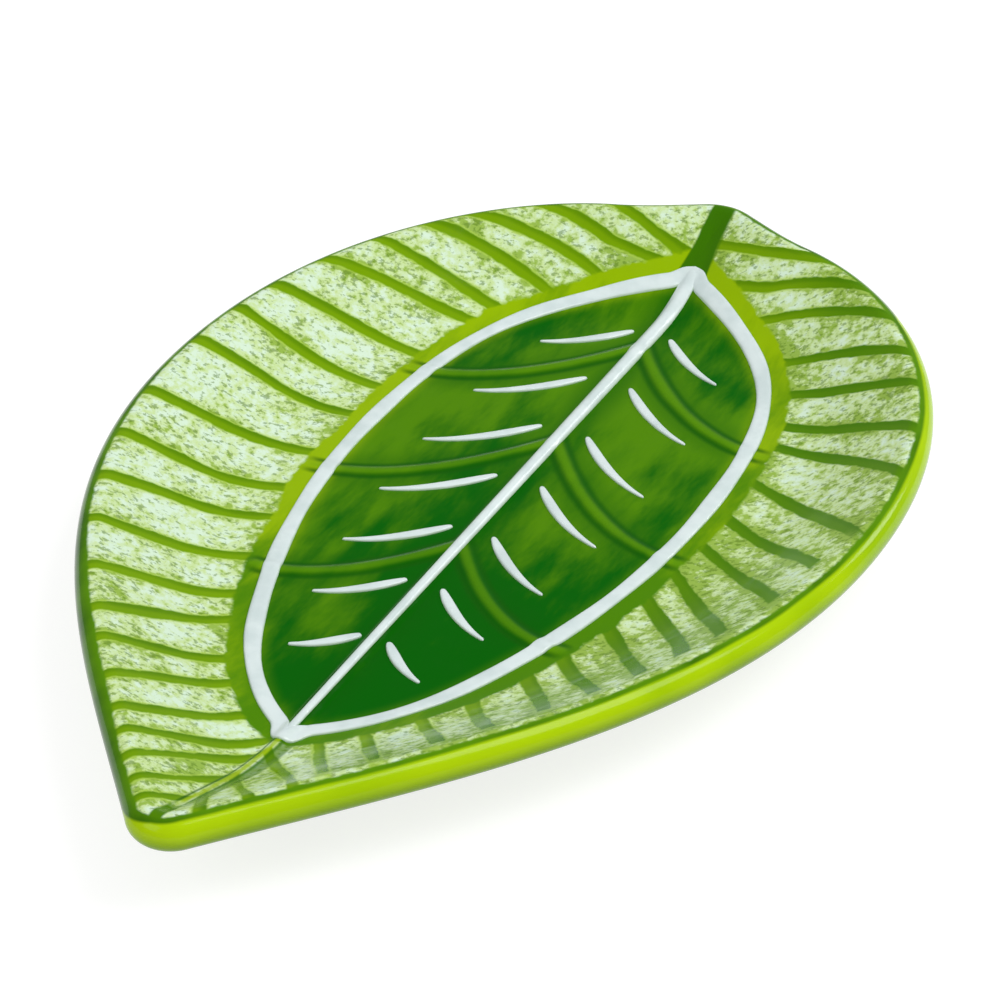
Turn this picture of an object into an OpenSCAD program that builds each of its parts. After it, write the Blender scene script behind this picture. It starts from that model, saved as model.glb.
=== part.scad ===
// Leaf shaped plate: a pressed earthenware dish with a round lip, a sloping wall, an embossed
// midrib and side veins, a foot ring underneath, fired-on glaze coats and raised white slip lines.
// The leaf lies along X with its tip at -X and its stem end at +X. It stands on z = 0.

/* [Plate] */
// Length of the clay from leaf tip to stem
plate_len = 250; // [220:1:300]
// Width of the clay where the leaf is widest
plate_w = 158; // [150:1:180]
// Height of the lip above the table
plate_h = 21; // [19:0.5:24]

/* [Wall and floor] */
// Radius of the round lip
lip_r = 3; // [2.4:0.1:3.6]
// Slope of the wall above level, in degrees
wall_slope = 30; // [27:1:34]
// Radius of the cove between wall and floor
cove_r = 36; // [26:1:40]
// Thickness of the floor
floor_t = 5.5; // [4.5:0.5:6.5]

/* [Foot ring] */
// Size of the foot ring, as a share of the flat underside
foot_share = 0.8; // [0.6:0.01:0.86]
// Width of the ring's clay
foot_t = 4.5; // [3:0.5:7]
// Height of the foot ring
foot_h = 2.5; // [1.5:0.5:3.5]

/* [Embossed veins] */
// Width of the raised midrib
rib_w = 2.6; // [1.6:0.2:4]
// Height of the raised midrib
rib_h = 1; // [0.6:0.1:1.6]
// Width of a side vein where it leaves the midrib
vein_w = 2.4; // [1.4:0.2:3.4]
// Height of a side vein where it leaves the midrib
vein_h = 0.8; // [0.5:0.1:1.2]
// Pairs of side veins
vein_pairs = 3; // [2:1:4]

/* [Glaze] */
// Thickness of one coat of glaze
coat_t = 0.4; // [0.3:0.05:0.6]
// Angle over the lip, from its crest outwards, where the dark band meets the outside glaze
band_angle = 30; // [15:5:45]
// Bare clay left beside the foot ring
wipe_w = 1; // [0.5:0.5:3]
// Width of one brushed stripe
stripe_w = 2.6; // [1.8:0.2:3.4]
// Stripes on each flank beside the leaf's tip
tip_stripes = 5; // [3:1:7]
// Stripes on each flank along the side
side_stripes = 15; // [10:1:18]
// Stripes on each flank beside the stem
stem_stripes = 1; // [1:1:2]
// Width of the stroke that is the leaf's stem
stem_w = 3.8; // [2.6:0.2:4.6]

/* [White slip lines] */
// Width of the leaf-shaped line
line_w = 3.2; // [2:0.2:4.4]
// Width of a side stroke at its thickest
stroke_w = 2; // [1.4:0.2:3]
// Height that the slip stands above the glaze
slip_h = 0.6; // [0.4:0.1:1]

/* [Hidden] */

// Half outline from tip to stem, as cubic curves. Each point is [share of the length from the tip,
// share of the half width].
outline_shares = [
    [[0, 0], [0, 0.029], [0.004, 0.057], [0.011, 0.076]],
    [[0.011, 0.076], [0.161, 0.484], [0.315, 1], [0.572, 1]],
    [[0.572, 1], [0.79, 1], [0.924, 0.62], [0.958, 0.3]],
    [[0.958, 0.3], [0.9665, 0.22], [0.9805, 0.148], [0.988, 0.105]],
    [[0.988, 0.105], [0.994, 0.07], [1, 0.045], [1, 0]]];
// The same for the foot ring, of its own length and half width
foot_shares = [
    [[0, 0], [0, 0.3], [0.06, 0.5], [0.18, 0.7]],
    [[0.18, 0.7], [0.28, 0.88], [0.42, 1], [0.58, 1]],
    [[0.58, 1], [0.82, 1], [1, 0.58], [1, 0]]];
// Where the foot ring's middle lies, as a share of the flat underside's length from its tip
foot_place_share = 0.54;
// The same shape of line for the white leaf, of its own length and half width
leaf_line_shares = [
    [[0, 0], [0.02, 0.2], [0.07, 0.44], [0.15, 0.6]],
    [[0.15, 0.6], [0.26, 0.82], [0.4, 1], [0.56, 1]],
    [[0.56, 1], [0.84, 1], [0.9, 0.66], [1, 0]]];
// Tip and base of the white leaf line, as shares of the plate's length from the tip
leaf_line_tip_share = 0.192;
leaf_line_base_share = 0.916;
// Half width of the white leaf line, as a share of the plate's half width
leaf_line_w_share = 0.485;
// Root of the first and last side vein along the white leaf, from its tip
vein_root_shares = [0.38, 0.856];
// How far a side vein and a side stroke reach out, as shares of the white leaf's half width
vein_reach_share = 0.86;
stroke_reach_share = 0.66;
// How far they lean towards the tip, as a share of their way out
lean_share = 0.9;
// Where a side stroke starts, as a share of its way out
stroke_start_share = 0.2;
// How far over the wall the midrib's two ends run, as shares of the wall's width
rib_tip_share = 1.24;
rib_stem_share = 0.8;
// Where the white line on the midrib ends, as a share of the white leaf
rib_trail_share = 0.96;
// How much of a vein's width and height is left at its far end
vein_end_share = 0.35;
// How far a side vein's curve bows towards the tip, as a share of its way out
bow_share = 0.14;
// Bend of a slip line's top: the flat part as a share of its width
slip_top_share = 0.55;
// How much of a slip line's width is left at its end
slip_end_share = 0.3;
// Depth that the sides of a vein run on down into the floor
vein_bed = vein_h;
// Steps along one curve of the outline when its length is measured
measure_steps = 16;
// Rays in the rounding of the tip and of the stem end
corner_rays = 4;
// Where the stem's stroke starts, in widths of the lip up to its inner edge
stem_start_share = 1.08;
// Steps along the stem's stroke, a half line of slip, a vein and a side stroke
stem_steps = 6;
line_steps = 24;
vein_steps = 5;
stroke_steps = 5;
// Lengths smaller than this, as a share of the lip, count as nothing
nothing = lip_r/3000;

half_len = plate_len/2;
floor_z = foot_h + floor_t;

// Wall, seen in section: t runs inwards from the outermost clay and z runs up
lip_inner_t = lip_r*(1 + sin(wall_slope));
lip_inner_z = plate_h - lip_r*(1 - cos(wall_slope));
wall_run = (lip_inner_z - floor_z - cove_r*(1 - cos(wall_slope)))/tan(wall_slope);
cove_top_t = lip_inner_t + wall_run;
wall_inset = cove_top_t + cove_r*sin(wall_slope);
under_r = cove_r + 2*lip_r;
lip_outer_t = lip_r*(1 - sin(wall_slope));
lip_outer_z = plate_h - lip_r*(1 + cos(wall_slope));
under_run = (lip_outer_z - foot_h - under_r*(1 - cos(wall_slope)))/tan(wall_slope);
under_top_t = lip_outer_t + under_run;
under_inset = under_top_t + under_r*sin(wall_slope);

// Height of the wall's inside and of the underside, t inwards from the rim
function inside_z(t) = t <= cove_top_t ? lip_inner_z - (t - lip_inner_t)*tan(wall_slope)
    : t >= wall_inset ? floor_z
    : floor_z + cove_r - sqrt(pow(cove_r, 2) - pow(wall_inset - t, 2));
function under_z(t) = t <= under_top_t ? lip_outer_z - (t - lip_outer_t)*tan(wall_slope)
    : t >= under_inset ? foot_h
    : foot_h + under_r - sqrt(pow(under_r, 2) - pow(under_inset - t, 2));

// Cubic curve, its direction, and the point and direction along a chain of curves
function bez(p, u) = p[0]*pow(1 - u, 3) + p[1]*3*u*pow(1 - u, 2) + p[2]*3*u*u*(1 - u) + p[3]*pow(u, 3);
function bez_way(p, u) = (p[1] - p[0])*pow(1 - u, 2) + (p[2] - p[1])*2*u*(1 - u) + (p[3] - p[2])*u*u;
function piece(shares, q) = min(floor(q), len(shares) - 1);
function at(shares, q) = bez(shares[piece(shares, q)], q - piece(shares, q));
function way(shares, q) = bez_way(shares[piece(shares, q)], q - piece(shares, q));

// Point of the rim and its inward direction, q counting along the outline's curves
function rim(q) = [plate_len*at(outline_shares, q)[0] - half_len, plate_w/2*at(outline_shares, q)[1]];
function rim_way(q) = let (d = way(outline_shares, q)) [plate_len*d[0], plate_w/2*d[1]];
function inward(q) = let (d = rim_way(q)) [d[1], -d[0]]/norm(d);

// Length along the outline against q
measure_q = [for (i = [0:len(outline_shares)*measure_steps]) i/measure_steps];
function run_up(pts, i = 0, sum = 0, got = []) =
    i >= len(pts) ? got
    : run_up(pts, i + 1, sum + (i + 1 < len(pts) ? norm(pts[i + 1] - pts[i]) : 0), concat(got, [sum]));
measure_len = run_up([for (q = measure_q) rim(q)]);
len_to_q = [for (i = [0:len(measure_q) - 1]) [measure_len[i], measure_q[i]]];
q_to_len = [for (i = [0:len(measure_q) - 1]) [measure_q[i], measure_len[i]]];
flank_len = measure_len[len(measure_len) - 1];

// The midrib grows from nothing at the middle of the tip's rounding, and of the stem end's
last_curve = len(outline_shares) - 1;
nub_q = last_curve + 1/2;
function axis_t(q) = rim(q)[1]/-inward(q)[1];
tip_mid_x = rim(1)[0] + axis_t(1)*inward(1)[0];
stem_mid_x = rim(nub_q)[0] + axis_t(nub_q)*inward(nub_q)[0];
tip_taper = rib_w/2/(rib_tip_share*wall_inset);
stem_taper = rib_w/2/(rib_stem_share*wall_inset);
// How far a ray runs inwards before it meets the side of the midrib
function rib_t(q) = let (p = rim(q), n = inward(q))
    q < 2 ? (p[1] - tip_taper*(p[0] - tip_mid_x))/(tip_taper*n[0] - n[1])
          : (p[1] - stem_taper*(stem_mid_x - p[0]))/(-n[1] - stem_taper*n[0]);

// Rays on which the floor's two points lie: there the whole wall ends at the midrib
fine = 1/measure_steps;
floor_tip_q = lookup(wall_inset, [for (q = [1:fine:2]) [rib_t(q), q]]);
floor_stem_q = lookup(wall_inset, [for (q = [last_curve - 1:fine:last_curve]) [rib_t(q), q]]);

// Rays of one flank, tip to stem. A stripe lies between two rays a stripe's width apart.
function stripe_rays(a, b, n) = [for (k = [0:n - 1], side = [-1, 1])
    lookup(a + (b - a)*(k + 1/2)/n + side*stripe_w/2, len_to_q)];
tip_len = lookup(1, q_to_len);
stem_len = lookup(last_curve, q_to_len);
floor_tip_len = lookup(floor_tip_q, q_to_len);
floor_stem_len = lookup(floor_stem_q, q_to_len);
flank_q = concat(
    [for (k = [0:corner_rays - 1]) k/corner_rays],
    stripe_rays(tip_len, floor_tip_len, tip_stripes),
    [floor_tip_q],
    stripe_rays(floor_tip_len, floor_stem_len, side_stripes),
    [floor_stem_q],
    stripe_rays(floor_stem_len, stem_len, stem_stripes),
    [for (k = [0:corner_rays]) last_curve + k/corner_rays]);
last_ray = len(flank_q) - 1;
tip_ray = corner_rays + 2*tip_stripes;
stem_ray = tip_ray + 2*side_stripes + 1;

// One ray: rim point, inward direction, run and end at the midrib, run and end at the axis
function end_at(q, t, y) = q < 1 ? [tip_mid_x, 0] : q >= nub_q ? [stem_mid_x, 0]
    : [rim(q)[0] + t*inward(q)[0], y];
function run_at(q, t) = q < 1 ? tip_mid_x + half_len : q >= nub_q ? half_len - stem_mid_x : t;
function make_ray(q) = let (a = rib_t(q), b = axis_t(q))
    [rim(q), inward(q), run_at(q, a), end_at(q, a, rim(q)[1] + a*inward(q)[1]),
     run_at(q, b), end_at(q, b, 0)];
flank_rays = [for (q = flank_q) make_ray(q)];
function flip(p) = [p[0], p[1] == 0 ? 0 : -p[1]];
function other(r) = [flip(r[0]), flip(r[1]), r[2], flip(r[3]), r[4], flip(r[5])];
// All rays, clockwise seen from above: tip, far flank, stem end, near flank
rays = concat(flank_rays, [for (i = [last_ray - 1:-1:1]) other(flank_rays[i])]);
n = len(rays);
function mate(i) = (n - i)%n;

// Rings of points: t is how far in they lie, end at the midrib (2) or at the axis (4)
function in_pt(r, t, up) = let (s = min(t, r[2]), p = t < r[2] ? r[0] + t*r[1] : r[3])
    [p[0], p[1], inside_z(s) + up];
function under_pt(r, t, up) = let (s = min(t, r[4]), p = t < r[4] ? r[0] + t*r[1] : r[5])
    [p[0], p[1], under_z(s) + up];
function lip_pt(r, a, up) = let (c = plate_h - lip_r, k = lip_r + up, p = r[0] + (lip_r - k*sin(a))*r[1])
    [p[0], p[1], c + k*cos(a)];
in_steps = 3;
in_ts = concat([lip_inner_t],
    [for (k = [in_steps:-1:0]) wall_inset - cove_r*sin(wall_slope*k/in_steps)]);
under_steps = 2;
under_ts = [for (k = [0:under_steps]) under_inset - under_r*sin(wall_slope*k/under_steps)];
function in_rings(up) = [for (t = in_ts) [for (r = rays) in_pt(r, t, up)]];
function under_rings(up) = [for (t = under_ts) [for (r = rays) under_pt(r, t, up)]];
function lip_rings(angles, up) = [for (a = angles) [for (r = rays) lip_pt(r, a, up)]];
outer_angles = [for (k = [0:3]) 180 - wall_slope + (band_angle - 180 + wall_slope)*k/4];
band_angles = [band_angle, 0];

// Faces between rings that follow each other, leaving out what has shrunk to nothing
function flat(lists) = [for (l = lists) each l];
function real(pts, f) = norm(pts[f[0]] - pts[f[1]]) > nothing && norm(pts[f[1]] - pts[f[2]]) > nothing
    && norm(pts[f[2]] - pts[f[0]]) > nothing;
function on_axis(pts, f) = max([for (i = f) abs(pts[i][1])]) < nothing;
function band_faces(count, m, closed) = [for (k = [0:count - (closed ? 1 : 2)], i = [0:m - 1])
    let (a = k*m + i, b = k*m + (i + 1)%m, e = (k + 1)%count*m, c = e + (i + 1)%m, d = e + i)
    each [[a, b, c], [a, c, d]]];
// A ring-shaped coat: its free side and its clay side, joined at both edges
module coat(free, clay) {
    rings = concat(free, [for (k = [len(clay) - 1:-1:0]) clay[k]]);
    pts = flat(rings);
    polyhedron(pts, [for (f = band_faces(len(rings), n, true)) if (real(pts, f) && !on_axis(pts, f)) f]);
}
// A patch of coat over the wall between rays first and last, and rings a and b
module patch(first, last, a, b, lo, hi) {
    w = last - first + 1;
    grid = function (up) [for (k = [a:b]) [for (i = [first:last]) in_pt(rays[i%n], in_ts[k], up)]];
    rings = concat(grid(hi), [for (k = [b - a:-1:0]) grid(lo)[k]]);
    pts = flat(rings);
    count = len(rings);
    open = [for (k = [0:count - 1], i = [0:w - 2])
        let (p = k*w + i, e = (k + 1)%count*w + i) each [[p, p + 1, e + 1], [p, e + 1, e]]];
    ends = [for (k = [0:b - a - 1])
        let (p = k*w, q = (count - 1 - k)*w) each
        [[p, p + w, q - w], [p, q - w, q],
         [p + w - 1, q + w - 1, q - 1], [p + w - 1, q - 1, p + 2*w - 1]]];
    polyhedron(pts, [for (f = concat(open, ends)) if (real(pts, f)) f]);
}

// Floor of one flank as a flat outline, from the tip along the cove to the stem, and the underside's
floor_half = [for (i = [tip_ray:stem_ray]) let (p = in_pt(rays[i], wall_inset, 0)) [p[0], p[1]]];
flat_rays = [for (i = [0:last_ray]) if (rays[i][4] > under_inset) i];
flat_first = flat_rays[0];
flat_last = flat_rays[len(flat_rays) - 1];
under_half = [for (i = flat_rays) let (p = under_pt(rays[i], under_inset, 0)) [p[0], p[1]]];
under_outline = concat(under_half, [for (k = [len(under_half) - 1:-1:0]) flip(under_half[k])]);
widest_x = outline_shares[2][0][0]*plate_len - half_len;

// The foot ring's outline and the same outline grown or shrunk
flat_from = under_half[0][0];
flat_len = under_half[len(under_half) - 1][0] - flat_from;
flat_w = 2*max([for (p = under_half) p[1]]);
foot_len = foot_share*flat_len;
foot_w = foot_share*flat_w;
foot_x = flat_from + foot_place_share*flat_len;
function foot_at(q, out) = let (s = at(foot_shares, q), d = way(foot_shares, q),
        e = [foot_len*d[0], foot_w/2*d[1]], p = [foot_x + foot_len*(s[0] - 1/2), foot_w/2*s[1]])
    p + out*[-e[1], e[0]]/norm(e);
foot_steps = 8;
function foot_outline(out) = let (last = len(foot_shares)*foot_steps,
        half = [for (i = [0:last]) foot_at(i/foot_steps, out)])
    concat(half, [for (i = [last - 1:-1:1]) [half[i][0], -half[i][1]]]);

// Height of the glazed inside at a place, from its distance to the rim. The painted leaf climbs the
// wall beside the stem, where its glaze lies over the ground's.
function gap_to(p, a, b) = let (d = b - a, k = max(0, min(1, (p - a)*d/(d*d)))) norm(p - a - k*d);
function by_stem(p) = let (r = rays[stem_ray], d = p - r[0]) r[1][0]*d[1] > r[1][1]*d[0];
function glaze_z(p) = let (q = [p[0], abs(p[1])],
        t = min([for (i = [0:last_ray - 1]) gap_to(q, rays[i][0], rays[i + 1][0])]))
    lookup(t, [for (s = in_ts) [s, inside_z(s)]]) + (by_stem(q) ? 2*coat_t : coat_t);

// The midrib: places where its section is known, its half width, side height and crest height
rib_i = concat([for (i = [corner_rays - 1:tip_ray]) i],
    [for (i = [stem_ray:last_ray - corner_rays/2]) i]);
rib_x = [for (i = rib_i) rays[i][3][0]];
rib_ys = [for (i = rib_i) [rays[i][3][0], rays[i][3][1]]];
rib_zs = [for (i = rib_i) [rays[i][3][0], inside_z(rays[i][2])]];
function rib_y(x) = lookup(x, rib_ys);
function rib_side_z(x) = lookup(x, rib_zs);
function rib_rise(y) = 2*rib_h*y/rib_w;
function rib_top_z(x) = rib_side_z(x) + rib_rise(rib_y(x));

// The white leaf's place, and its half width at a place along it
leaf_tip_x = leaf_line_tip_share*plate_len - half_len;
leaf_len = (leaf_line_base_share - leaf_line_tip_share)*plate_len;
leaf_half_w = leaf_line_w_share*plate_w/2;
function leaf_pt(q) = let (s = at(leaf_line_shares, q)) [leaf_tip_x + leaf_len*s[0], leaf_half_w*s[1]];
leaf_widths = [for (k = [0:line_steps]) leaf_pt(len(leaf_line_shares)*k/line_steps)];
function leaf_w_at(x) = lookup(x, leaf_widths);

// A side vein or stroke: its far end, and the point a share of the way out from its root, leaning to
// the tip and bowed to it
function root_x(root_share) = leaf_tip_x + leaf_len*root_share;
function side_end(root_share, reach) =
    let (x = lookup(root_x(root_share), [for (w = leaf_widths) [w[0] + lean_share*reach*w[1], w[0]]]))
    [x, leaf_w_at(x)*reach];
function side_pt(root_share, end, u) =
    [root_x(root_share)*(1 - u) + end[0]*u - bow_share*end[1]*4*u*(1 - u), end[1]*u];
vein_pitch = (vein_root_shares[1] - vein_root_shares[0])/(vein_pairs - 1);
vein_roots = [for (k = [0:vein_pairs - 1]) vein_root_shares[0] + vein_pitch*k];
// The first step of a vein lies under the midrib, its glaze starts after that
vein_lines = [for (r = vein_roots)
    let (end = side_end(r, vein_reach_share), out = (rib_w/2 + vein_w/4)/end[1])
    concat([side_pt(r, end, 0)],
        [for (k = [1:vein_steps]) side_pt(r, end, out + (1 - out)*(k - 1)/(vein_steps - 1))])];
// Two strokes to each vein, one on each side of it, and one more next to the leaf's tip
stroke_lines = [for (k = [0:2*vein_pairs])
    let (root = vein_roots[0] + vein_pitch*(k/2 - 3/4), end = side_end(root, stroke_reach_share))
    [for (k = [0:stroke_steps])
        side_pt(root, end, stroke_start_share + (1 - stroke_start_share)*k/stroke_steps)]];

function heading(line, i) = let (d = line[min(i + 1, len(line) - 1)] - line[max(i - 1, 0)]) d/norm(d);
function leftward(line, i) = let (d = heading(line, i)) [-d[1], d[0]];
// How much of a vein is left along its way, and how a stroke swells
function taper(line, i) = 1 - (1 - vein_end_share)*line[i][1]/line[len(line) - 1][1];
function swell(u) = slip_end_share + (1 - slip_end_share)*sin(180*pow(u, 2/3));
// Footprint of a vein on the floor
function vein_edge(line, i, out) = line[i] + out*vein_w/2*taper(line, i)*leftward(line, i);
function vein_print(line) = let (m = len(line) - 1)
    concat([for (i = [0:m]) vein_edge(line, i, 1)], [for (i = [m:-1:0]) vein_edge(line, i, -1)]);
function place(p, z) = [p[0], p[1], z];
module tube(rings) {
    m = len(rings[0]);
    pts = flat(rings);
    ends = [[for (i = [m - 1:-1:0]) i], [for (i = [0:m - 1]) (len(rings) - 1)*m + i]];
    polyhedron(pts, [for (f = concat(band_faces(len(rings), m, false), ends)) if (real(pts, f)) f]);
}
// A vein is a ridge whose sides run on down into the floor
module vein(line) tube([for (i = [0:len(line) - 1])
    let (h = vein_h*taper(line, i), wide = (h + vein_bed)/h)
    [place(vein_edge(line, i, -wide), floor_z - vein_bed), place(line[i], floor_z + h),
     place(vein_edge(line, i, wide), floor_z - vein_bed)]]);
// The coat over a vein, an arch that fits the gap left in the coat on the floor
module vein_coat(line) tube([for (i = [1:len(line) - 1]) let (h = vein_h*taper(line, i))
    [place(vein_edge(line, i, -1), floor_z), place(vein_edge(line, i, -1), floor_z + coat_t),
     place(line[i], floor_z + h + coat_t), place(vein_edge(line, i, 1), floor_z + coat_t),
     place(vein_edge(line, i, 1), floor_z), place(line[i], floor_z + h)]]);
// A line of slip laid on the glaze, widths given point by point
module slip(line, widths) tube([for (i = [0:len(line) - 1])
    let (o = widths[i]/2*leftward(line, i), a = line[i] - o, b = line[i] + o,
         c = line[i] - slip_top_share*o, d = line[i] + slip_top_share*o)
    [place(a, glaze_z(a)), place(c, glaze_z(c) + slip_h),
     place(d, glaze_z(d) + slip_h), place(b, glaze_z(b))]]);
module both_flanks() {
    children();
    mirror([0, 1, 0]) children();
}

// Pressed clay: underside, round lip, wall, floor and embossed veins in one piece
module clay_body() color("#e9dcc3") {
    under = under_rings(0);
    lip = lip_rings(concat(outer_angles, band_angles), 0);
    inside = in_rings(0);
    rings = concat(under, lip, inside);
    top = (len(rings) - 1)*n;
    wall = flat(rings);
    middle = len(wall);
    half_mid = plate_w/4;
    crest_i = concat([for (i = [0:tip_ray]) i], [for (i = [stem_ray:last_ray]) i]);
    crest = [for (i = crest_i) let (p = wall[top + i]) [p[0], 0, p[2] + rib_rise(p[1])]];
    pts = concat(wall, [[widest_x, 0, foot_h], [widest_x, half_mid, floor_z],
        [widest_x, -half_mid, floor_z]], crest);
    first_crest = middle + 3;
    // Index of the crest above ring point i
    over = function (i) let (j = min(i, mate(i)))
        first_crest + (j <= tip_ray ? j : j - stem_ray + tip_ray + 1);
    loop = concat([for (i = [flat_first:flat_last]) i], [for (i = [mate(flat_last):mate(flat_first)]) i]);
    bottom = concat(
        [for (k = [0:len(loop) - 1]) [middle, loop[(k + 1)%len(loop)], loop[k]]],
        [[flat_first, flat_first - 1, mate(flat_first)],
         [mate(flat_last), flat_last + 1, flat_last]]);
    far_floor = concat([for (i = [tip_ray:stem_ray - 1]) [middle + 1, top + i, top + i + 1]],
        [[middle + 1, top + stem_ray, top + tip_ray]]);
    near_floor = concat([for (i = [mate(stem_ray):mate(tip_ray) - 1]) [middle + 2, top + i, top + i + 1]],
        [[middle + 2, top + mate(tip_ray), top + mate(stem_ray)]]);
    rib_runs = concat(
        [for (i = [0:tip_ray - 1]) [i, i + 1]], [[tip_ray, stem_ray]],
        [for (i = [stem_ray:last_ray - 1]) [i, i + 1]],
        [for (i = [last_ray:mate(stem_ray) - 1]) [i, i + 1]], [[mate(stem_ray), mate(tip_ray)]],
        [for (i = [mate(tip_ray):n - 1]) [i, (i + 1)%n]]);
    rib = [for (s = rib_runs) let (a = s[0], b = s[1])
        each [[top + a, top + b, over(b)], [top + a, over(b), over(a)]]];
    faces = concat(band_faces(len(rings), n, false), bottom, far_floor, near_floor, rib);
    union() {
        polyhedron(pts, [for (f = faces) if (real(pts, f)) f]);
        both_flanks() for (line = vein_lines) vein(line);
    }
}

// Foot ring luted under the floor, bare clay where it stands
module foot_ring() color("#e2d2b4") linear_extrude(height = foot_h) difference() {
    polygon(foot_outline(0));
    polygon(foot_outline(-foot_t));
}

// Lime glaze from under the lip down to the flat of the underside
module outside_glaze() color("#a6cc12")
    coat(concat(under_rings(-coat_t), lip_rings(concat(outer_angles, [band_angle]), coat_t)),
         concat(under_rings(0), lip_rings(concat(outer_angles, [band_angle]), 0)));

// The same glaze on the flat of the underside, wiped clear of the foot ring
module base_glaze() color("#a6cc12") translate([0, 0, foot_h - coat_t]) linear_extrude(height = coat_t) {
    difference() {
        polygon(under_outline);
        polygon(foot_outline(wipe_w));
    }
    polygon(foot_outline(-foot_t - wipe_w));
}

// Dark green band brushed over the lip
module lip_band_glaze() color("#2f6b0a")
    coat(concat(lip_rings(band_angles, coat_t), [in_rings(coat_t)[0]]),
         concat(lip_rings(band_angles, 0), [in_rings(0)[0]]));

// White ground sponged with green, on the wall
module border_ground_glaze() color("#d8ecd2") coat(in_rings(coat_t), in_rings(0));

// Green glaze of the painted leaf: over the floor, and up the wall beside the stem
module leaf_field_glaze() color("#3f8a0a") both_flanks() {
    translate([0, 0, floor_z]) linear_extrude(height = coat_t) difference() {
        polygon(floor_half);
        for (line = vein_lines) polygon(vein_print(line));
    }
    patch(stem_ray, last_ray - corner_rays, 1, in_steps + 1, coat_t, 2*coat_t);
}

// The same green glaze over the side veins, where it thins and turns lighter
module vein_glaze() color("#6ea81e") both_flanks() for (line = vein_lines) vein_coat(line);

// Lime glaze on the ridge of the midrib, from the tip to the stem
module midrib_glaze() color("#8fb81a") tube([for (x = rib_x)
    let (y = rib_y(x), z = rib_side_z(x), top = rib_top_z(x))
    [[x, -y, z], [x, -y, z + coat_t], [x, 0, top + coat_t], [x, y, z + coat_t], [x, y, z], [x, 0, top]]]);

// Brushed stripes across the wall
module stripe(i, b) {
    patch(i, i + 1, 0, b, coat_t, 2*coat_t);
    patch(n - i - 1, n - i, 0, b, coat_t, 2*coat_t);
}
module border_stripes() color("#5a9a0c") {
    for (k = [0:tip_stripes - 1]) stripe(corner_rays + 2*k, in_steps);
    for (k = [0:side_stripes - 1]) stripe(tip_ray + 1 + 2*k, in_steps);
    for (k = [0:stem_stripes - 1]) stripe(stem_ray + 1 + 2*k, 1);
}

// Dark stroke that is the leaf's stem, from the lip over the wall and the end of the midrib
module stem_stroke() color("#2f6b0a") {
    x0 = in_pt(rays[last_ray - corner_rays], in_ts[1], 0)[0];
    x1 = half_len - lip_inner_t*stem_start_share;
    tube([for (k = [0:stem_steps]) let (x = x0 + (x1 - x0)*k/stem_steps, y = stem_w/2,
            low = glaze_z([x, y]) - coat_t, mid = max(glaze_z([x, 0]) - coat_t, rib_top_z(x) + coat_t))
        [[x, -y, low], [x, -y, low + coat_t], [x, 0, mid + coat_t], [x, y, low + coat_t], [x, y, low],
         [x, 0, mid]]]);
}

// White line round the painted leaf, broken where the midrib crosses it
module leaf_outline_trail() color("#f2f6f2") both_flanks() {
    line = [for (p = leaf_widths) if (p[1] > rib_w/2 + line_w/2) p];
    slip(line, [for (p = line) line_w]);
}

// White line on the ridge of the midrib, as wide as the ridge at the leaf's foot
module leaf_midrib_trail() color("#f2f6f2") {
    x1 = leaf_tip_x + leaf_len*rib_trail_share;
    tube([for (k = [0:line_steps]) let (u = k/line_steps, x = leaf_tip_x + (x1 - leaf_tip_x)*u,
            y = rib_y(x)*(1 + u)/2, top = rib_top_z(x) + coat_t, low = top - rib_rise(y))
        [[x, -y, low], [x, -y*slip_top_share, top + slip_h], [x, y*slip_top_share, top + slip_h],
         [x, y, low], [x, 0, top]]]);
}

// White strokes between the veins
module leaf_vein_trails() color("#f2f6f2") both_flanks() for (line = stroke_lines)
    slip(line, [for (k = [0:len(line) - 1]) stroke_w*swell(k/(len(line) - 1))]);

clay_body();
foot_ring();
outside_glaze();
base_glaze();
lip_band_glaze();
border_ground_glaze();
leaf_field_glaze();
vein_glaze();
midrib_glaze();
border_stripes();
stem_stroke();
leaf_outline_trail();
leaf_midrib_trail();
leaf_vein_trails();
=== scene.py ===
# %% [markdown]
# # A leaf shaped plate
# This file dresses the solid model of a hand painted earthenware plate. The plate has the outline of
# a leaf: a tip at -X, a stem end at +X and two flanks that mirror each other. Each cell makes one
# thing, and the notes before it say what that thing is on the real plate and why it is made this way.

import bpy
import numpy as np
from mathutils import Matrix


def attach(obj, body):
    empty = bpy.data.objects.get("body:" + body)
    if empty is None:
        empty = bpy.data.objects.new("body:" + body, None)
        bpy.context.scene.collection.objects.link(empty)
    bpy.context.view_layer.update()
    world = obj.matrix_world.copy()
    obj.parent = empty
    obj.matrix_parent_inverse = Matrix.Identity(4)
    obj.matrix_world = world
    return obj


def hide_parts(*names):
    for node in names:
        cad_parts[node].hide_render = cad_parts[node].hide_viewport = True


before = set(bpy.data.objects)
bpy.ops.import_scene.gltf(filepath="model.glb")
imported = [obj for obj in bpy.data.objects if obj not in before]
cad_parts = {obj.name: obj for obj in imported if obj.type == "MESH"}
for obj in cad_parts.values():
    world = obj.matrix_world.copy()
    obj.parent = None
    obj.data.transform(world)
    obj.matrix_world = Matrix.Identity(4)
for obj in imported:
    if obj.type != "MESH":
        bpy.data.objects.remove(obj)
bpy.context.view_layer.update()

# %% [markdown]
# The sizes are the solid model's own, in millimetres, because its source can't be read from here.
# The outline is a chain of cubic curves from tip to stem, in shares of the length and half width.

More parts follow.
